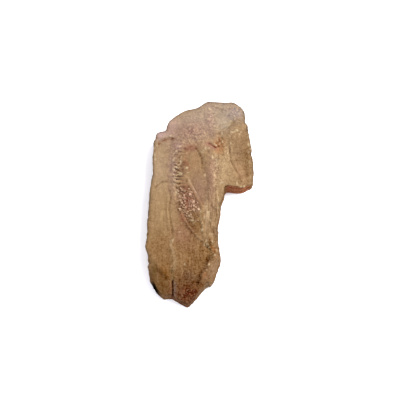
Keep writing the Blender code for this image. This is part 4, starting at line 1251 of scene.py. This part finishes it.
def spoke_ends(columns):
    """The inner and outer ends of the spokes, and the points of the spine that they look to."""
    inner_curve, outer_curve = (smooth_curve(ends) for ends in zip(*SPOKES))
    outer, inner = around(outer_curve, columns, inner_curve)
    low, high = np.asarray(SPINE, float)
    along = high - low
    share = np.clip((inner - low) @ along / (along @ along), 0, 1)[:, None]
    return inner, outer, low + share * along


def build_shell():
    """Rings from the rim in to the spine for the outside, then rings for the underside."""
    shape = Shape()
    inner, outer, spine = spoke_ends(SHELL_COLUMNS)
    turn = np.arange(SHELL_COLUMNS) / SHELL_COLUMNS
    xy, relief = [], []
    for out in np.linspace(1, 0, WHORL_ROWS):
        xy.append(inner + (outer - inner) * out)
        relief.append(whorl_relief(xy[-1], turn, np.full(SHELL_COLUMNS, out)))
    for out in np.linspace(1, SMALLEST_RING, ALMOND_ROWS)[1:]:
        xy.append(spine + (inner - spine) * out)
        relief.append(through(np.full(SHELL_COLUMNS, out), ALMOND))
    rows = len(xy)
    xy = np.concatenate(xy)
    height = rock_form(xy) + sunk(xy, np.concatenate(relief)) + fine_relief(xy)
    rings = shape.add(xy, height).reshape(rows, SHELL_COLUMNS)
    for ring, other in zip(rings, rings[1:]):
        shape.band(ring, other)
    shape.fill(rings[-1], np.empty((0, 2)), 0)
    last = rings[0]
    for share in np.linspace(FIRST_UNDER, SMALLEST_RING, UNDER_ROWS):
        flat = spine + (outer - spine) * share
        ring = shape.add(flat, rock_form(flat) - pocket_depth(flat, 0) + UNDER_LIFT - RIM_TUCK)
        shape.band(last, ring)
        last = ring
    shape.fill(last, np.empty((0, 2)), 0)
    return shape


shell_shape = build_shell()
shell_mesh = shell_shape.mesh("ribbed_shell")
print("shell:", len(shell_mesh.polygons), "faces")

# %% [markdown]
# ## The colour of the shell
# The shell was aragonite once and is calcite now, stained pink by haematite on its ribs and olive by
# limonite between them. It has the rock's dirt, painted shade and painted highlight all over, so it has
# the rock's kind of material too.
# Calcite is a little finer and smoother than sandy limestone: the grain is 0.9 mm, again coarser than
# the real one, and the surface is less rough but still without gloss.

# %% Colour the shell
SEAM_WIDTH = 1.5  # painted shade with dirt in low places and painted highlight on high places set in over this much inside the shell's edge
shell_xy = shell_shape.points[:, :2]
shell_within = eased(depth_inside(shell_xy, SHELL_LOOP) / SEAM_WIDTH)
keep_ground(shell_mesh, shell_xy, top_colour(shell_xy), shell_within, rounds=12)
shell = place(shell_mesh, rock_material(
    "calcite_shell_stained_with_haematite", grain_mm=0.9, roughness=0.7, bump=0.32))
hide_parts("ammonite")
print("shell coloured with", shell.data.materials[0].name)


# %% [markdown]
# ## Sugary calcite
# In the hollow, water left small calcite crystals. They are blunt rhombs, about a millimetre across,
# grown close together at all angles. One bumpy sheet could stand for them, but it would lack their
# sharp flat faces, so each is a solid of its own: a cube squashed along its body diagonal, turned at
# random and half sunk in the floor of the hollow, which shows between them.

# %% Crystal sizes
CRUST = [
    (-3, -18), (-8, -15), (-12, -9.5), (-15, -3.5), (-17, 2.5), (-17, 7.5), (-12.5, 10.5), (-8, 10.5),
    (-5.3, 7), (-3, 2.5), (-0.8, -2.5), (0.5, -8), (0.2, -14),
]
NODULES = [  # x, y and size of the pale ones that stand out
    (-7, 5, 0.9), (-14, 1, 0.75), (-13, -1, 0.7), (-14.5, -6, 0.9), (-4.5, 0, 0.95), (-5.6, -0.6, 0.7),
    (-4.5, -3, 0.8), (-3, -4.5, 0.7), (-1, -6, 0.95), (-4.5, -6, 0.75), (-7.5, -10.5, 0.7),
    (-6, -11.5, 0.55), (-11.5, 4.5, 0.65), (-10.5, -4.5, 0.65), (-11.5, -2.5, 0.65), (-6, 6.5, 0.6),
    (-9.4, -8.5, 0.55), (-8.6, -7.4, 0.5), (-7, -6.7, 0.5),
]
CRYSTALS_IN_CRUST, TRIES = 190, 4000  # so many are kept of so many random places
EDGE_CLEAR = 0.3  # they keep this far inside the crust's edge
THINNED = ((-3, -14), (4.5, 7), 15)  # crystals are few on the olive floor
THINNING = 0.7  # the share that is left out there
CRYSTAL_SIZE = (0.32, 0.75)  # half of the rhomb's edge, small ones the most
STAND_OUT = 0.25  # how far a crystal's middle is above the floor, as a share of its size
CLEARING = (0.0, 0.3)  # how much paler than the rock the smallest and the largest are
NODULE_CLEARING = 0.42
RHOMB_SQUASH = 0.8  # a calcite rhomb is a cube pushed along its body diagonal
CORNERS = 8
RHOMB_FACES = [(0, 1, 3, 2), (4, 6, 7, 5), (0, 4, 5, 1), (2, 3, 7, 6), (0, 2, 6, 4), (1, 5, 7, 3)]


# %% Crystals
def rhomb(spot, size, chance):
    """The eight corners of one rhomb at a random angle."""
    axis = Vector([chance.gauss(0, 1) for _ in range(3)]).normalized()
    turn = Matrix.Rotation(chance.uniform(0, math.tau), 3, axis)
    along = Vector((1, 1, 1)).normalized()
    corners = []
    for signs in itertools.product((-1, 1), repeat=3):
        corner = Vector(signs)
        corner -= along * corner.dot(along) * (1 - RHOMB_SQUASH)
        corners.append(tuple(Vector(spot) + turn @ corner * size))
    return corners


def crystal_mesh(name, spots, sizes, chance):
    """One mesh of many rhombs."""
    points, faces = [], []
    for spot, size in zip(spots, sizes):
        faces += [tuple(len(points) + v for v in face) for face in RHOMB_FACES]
        points += rhomb(spot, size, chance)
    mesh = bpy.data.meshes.new(name)
    mesh.from_pydata([(x * MM, y * MM, z * MM) for x, y, z in points], [], faces)
    mesh.update()
    return mesh


# %% [markdown]
# ## Milky calcite
# Calcite is clear when it is pure. These crystals are full of cracks and stained by the rock behind
# them, so they look milky: a paler and slightly cloudy version of the rock's own colour. At this size
# no light is seen to pass through, so the shader has no transmission. Water has etched the faces, which
# gives them a soft gleam instead of a glint. The clouds are 1.2 mm, about one crystal.


# %% Crystal material
MILKY_COLOUR = "#E8CCAE"
CLOUD_MM = 1.2
CLOUD_LEVELS = (-0.10, 0.10)


def calcite_material(name, roughness):
    """The rock's stain made paler by each crystal's own share, with clouds."""
    material, tree, shader, place_in = new_material(name)
    tint, pale = (
        node(tree, "ShaderNodeAttribute", {"attribute_name": key}).outputs[kind]
        for key, kind in (("stain", "Color"), ("paleness", "Fac"))
    )
    cloud = node(tree, "ShaderNodeTexNoise", {}, {
        "Vector": place_in.outputs["Object"], "Scale": per_metre(CLOUD_MM), "Detail": 3.0})
    cloudy = node(tree, "ShaderNodeMapRange", {}, {
        "Value": cloud.outputs["Fac"], "From Min": NOISE_RANGE[0], "From Max": NOISE_RANGE[1],
        "To Min": CLOUD_LEVELS[0], "To Max": CLOUD_LEVELS[1]})
    level = node(tree, "ShaderNodeMath", {"operation": "ADD"}, {0: pale, 1: cloudy.outputs["Result"]})
    milky = node(tree, "ShaderNodeVectorMath", {"operation": "MULTIPLY_ADD"}, {
        0: level.outputs[0], 1: tuple(linear(MILKY_COLOUR) * REFLECTS), 2: tint})
    tree.links.new(milky.outputs[0], shader.inputs["Base Color"])
    shader.inputs["Roughness"].default_value = roughness
    shader.inputs["Specular IOR Level"].default_value = 0.1  # the etched faces gleam faintly
    shader.inputs["IOR"].default_value = 1.6  # calcite has two, 1.49 and 1.66
    return material


# %% Build the crust
def hollow_floor(xy):
    """The height of the hollow's floor."""
    return rock_form(xy) + sunk(xy, np.zeros(len(xy)))


def build_crust():
    """Random small crystals and the named pale ones, on the floor of the hollow."""
    chance = random.Random(SEED)
    loop = smooth_curve(CRUST)
    low, high = loop.min(axis=0), loop.max(axis=0)
    spots = np.array([
        (chance.uniform(low[0], high[0]), chance.uniform(low[1], high[1])) for _ in range(TRIES)
    ])
    kept = depth_inside(spots, loop) > EDGE_CLEAR
    kept &= np.array([chance.random() for _ in spots]) > THINNING * patch(spots, *THINNED)
    spots = spots[kept][:CRYSTALS_IN_CRUST]
    low, high = CRYSTAL_SIZE
    sizes = np.array([chance.triangular(low, high, low) for _ in spots])
    pale = CLEARING[0] + (CLEARING[1] - CLEARING[0]) * (sizes - low) / (high - low)
    nodules = np.array(NODULES)
    spots = np.concatenate([spots, nodules[:, :2]])
    sizes = np.concatenate([sizes, nodules[:, 2]])
    pale = np.concatenate([pale, np.full(len(nodules), NODULE_CLEARING)])
    places = np.column_stack([spots, hollow_floor(spots) + STAND_OUT * sizes])
    mesh = crystal_mesh("sugary_crystals", places, sizes, chance)
    colour = np.clip(stained(spots, GROUND, STAINS) * REFLECTS, 0, 1)
    keep_colour(mesh, "stain", np.repeat(colour, CORNERS, axis=0))
    keep_number(mesh, "paleness", np.repeat(pale, CORNERS))
    return place(mesh, calcite_material("milky_calcite", 0.55))


crust = build_crust()
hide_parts("calcite_crystals")
print("crystals:", len(crust.data.polygons), "faces")

# %% [markdown]
# ## Floor, light and camera
# The specimen lies on a white sheet under soft light. A large lamp stands high, to the right and a
# little behind, and throws the shade of ledges and ribs to the left and towards the viewer. The white
# surroundings fill that shade, as a white tent would. The camera looks down from 78 degrees with a long
# lens, which keeps the outline true.

# %% Floor
FLOOR_SIZE = 3.0
PAPER_COLOUR = "#F7F7FA"
half = FLOOR_SIZE / 2
floor_mesh = bpy.data.meshes.new("white_floor")
floor_mesh.from_pydata(
    [(-half, -half, 0), (half, -half, 0), (half, half, 0), (-half, half, 0)], [], [(0, 1, 2, 3)]
)
floor = bpy.data.objects.new("white_floor", floor_mesh)
bpy.context.scene.collection.objects.link(floor)
paper, _, paper_shader, _ = new_material("white_paper")
paper_shader.inputs["Base Color"].default_value = (*linear(PAPER_COLOUR), 1)
paper_shader.inputs["Roughness"].default_value = 0.9
floor_mesh.materials.append(paper)
print("floor", FLOOR_SIZE, "m wide")

# %% Light
SKY_COLOUR = "#FBFBFF"
SKY_STRENGTH = 1.5
LAMP_AT = (0.62, 0.42, 1.15)
LAMP_AIM = (0, 0, 0.01)
LAMP_WIDTH = 0.5
LAMP_POWER = 25.5
world = bpy.data.worlds.new("studio")
bpy.context.scene.world = world
world.use_nodes = True
sky = world.node_tree.nodes["Background"]
sky.inputs["Color"].default_value = (*linear(SKY_COLOUR), 1)
sky.inputs["Strength"].default_value = SKY_STRENGTH


def lamp(name, place_at, look_at, size, power):
    """A square soft lamp. Places are in metres, power in watts."""
    data = bpy.data.lights.new(name, "AREA")
    data.size = size
    data.energy = power
    made = bpy.data.objects.new(name, data)
    made.location = place_at
    made.rotation_euler = (Vector(look_at) - Vector(place_at)).to_track_quat("-Z", "Y").to_euler()
    bpy.context.scene.collection.objects.link(made)
    return made


key = lamp("key", LAMP_AT, LAMP_AIM, LAMP_WIDTH, LAMP_POWER)
print("lamp", round(key.location.length, 2), "m away")

# %% Camera
LENS_MM = 100
SENSOR_MM = 36
PICTURE_WIDTH_MM = 292.7  # what the picture spans at the slab's middle height
LOOK_DOWN = 78  # degrees above the horizon
AIM = Vector((0.00007, 0.0029, 0.011))
camera_data = bpy.data.cameras.new("camera")
camera_data.lens = LENS_MM
camera_data.sensor_width = SENSOR_MM
camera = bpy.data.objects.new("camera", camera_data)
distance = PICTURE_WIDTH_MM * MM * LENS_MM / SENSOR_MM
tilt = math.radians(LOOK_DOWN)
camera.location = AIM + Vector((0, -math.cos(tilt), math.sin(tilt))) * distance
camera.rotation_euler = (math.pi / 2 - tilt, 0, 0)
bpy.context.scene.collection.objects.link(camera)
bpy.context.scene.camera = camera
bpy.context.scene.view_settings.view_transform = "Standard"
print("camera", round(distance, 3), "m away")
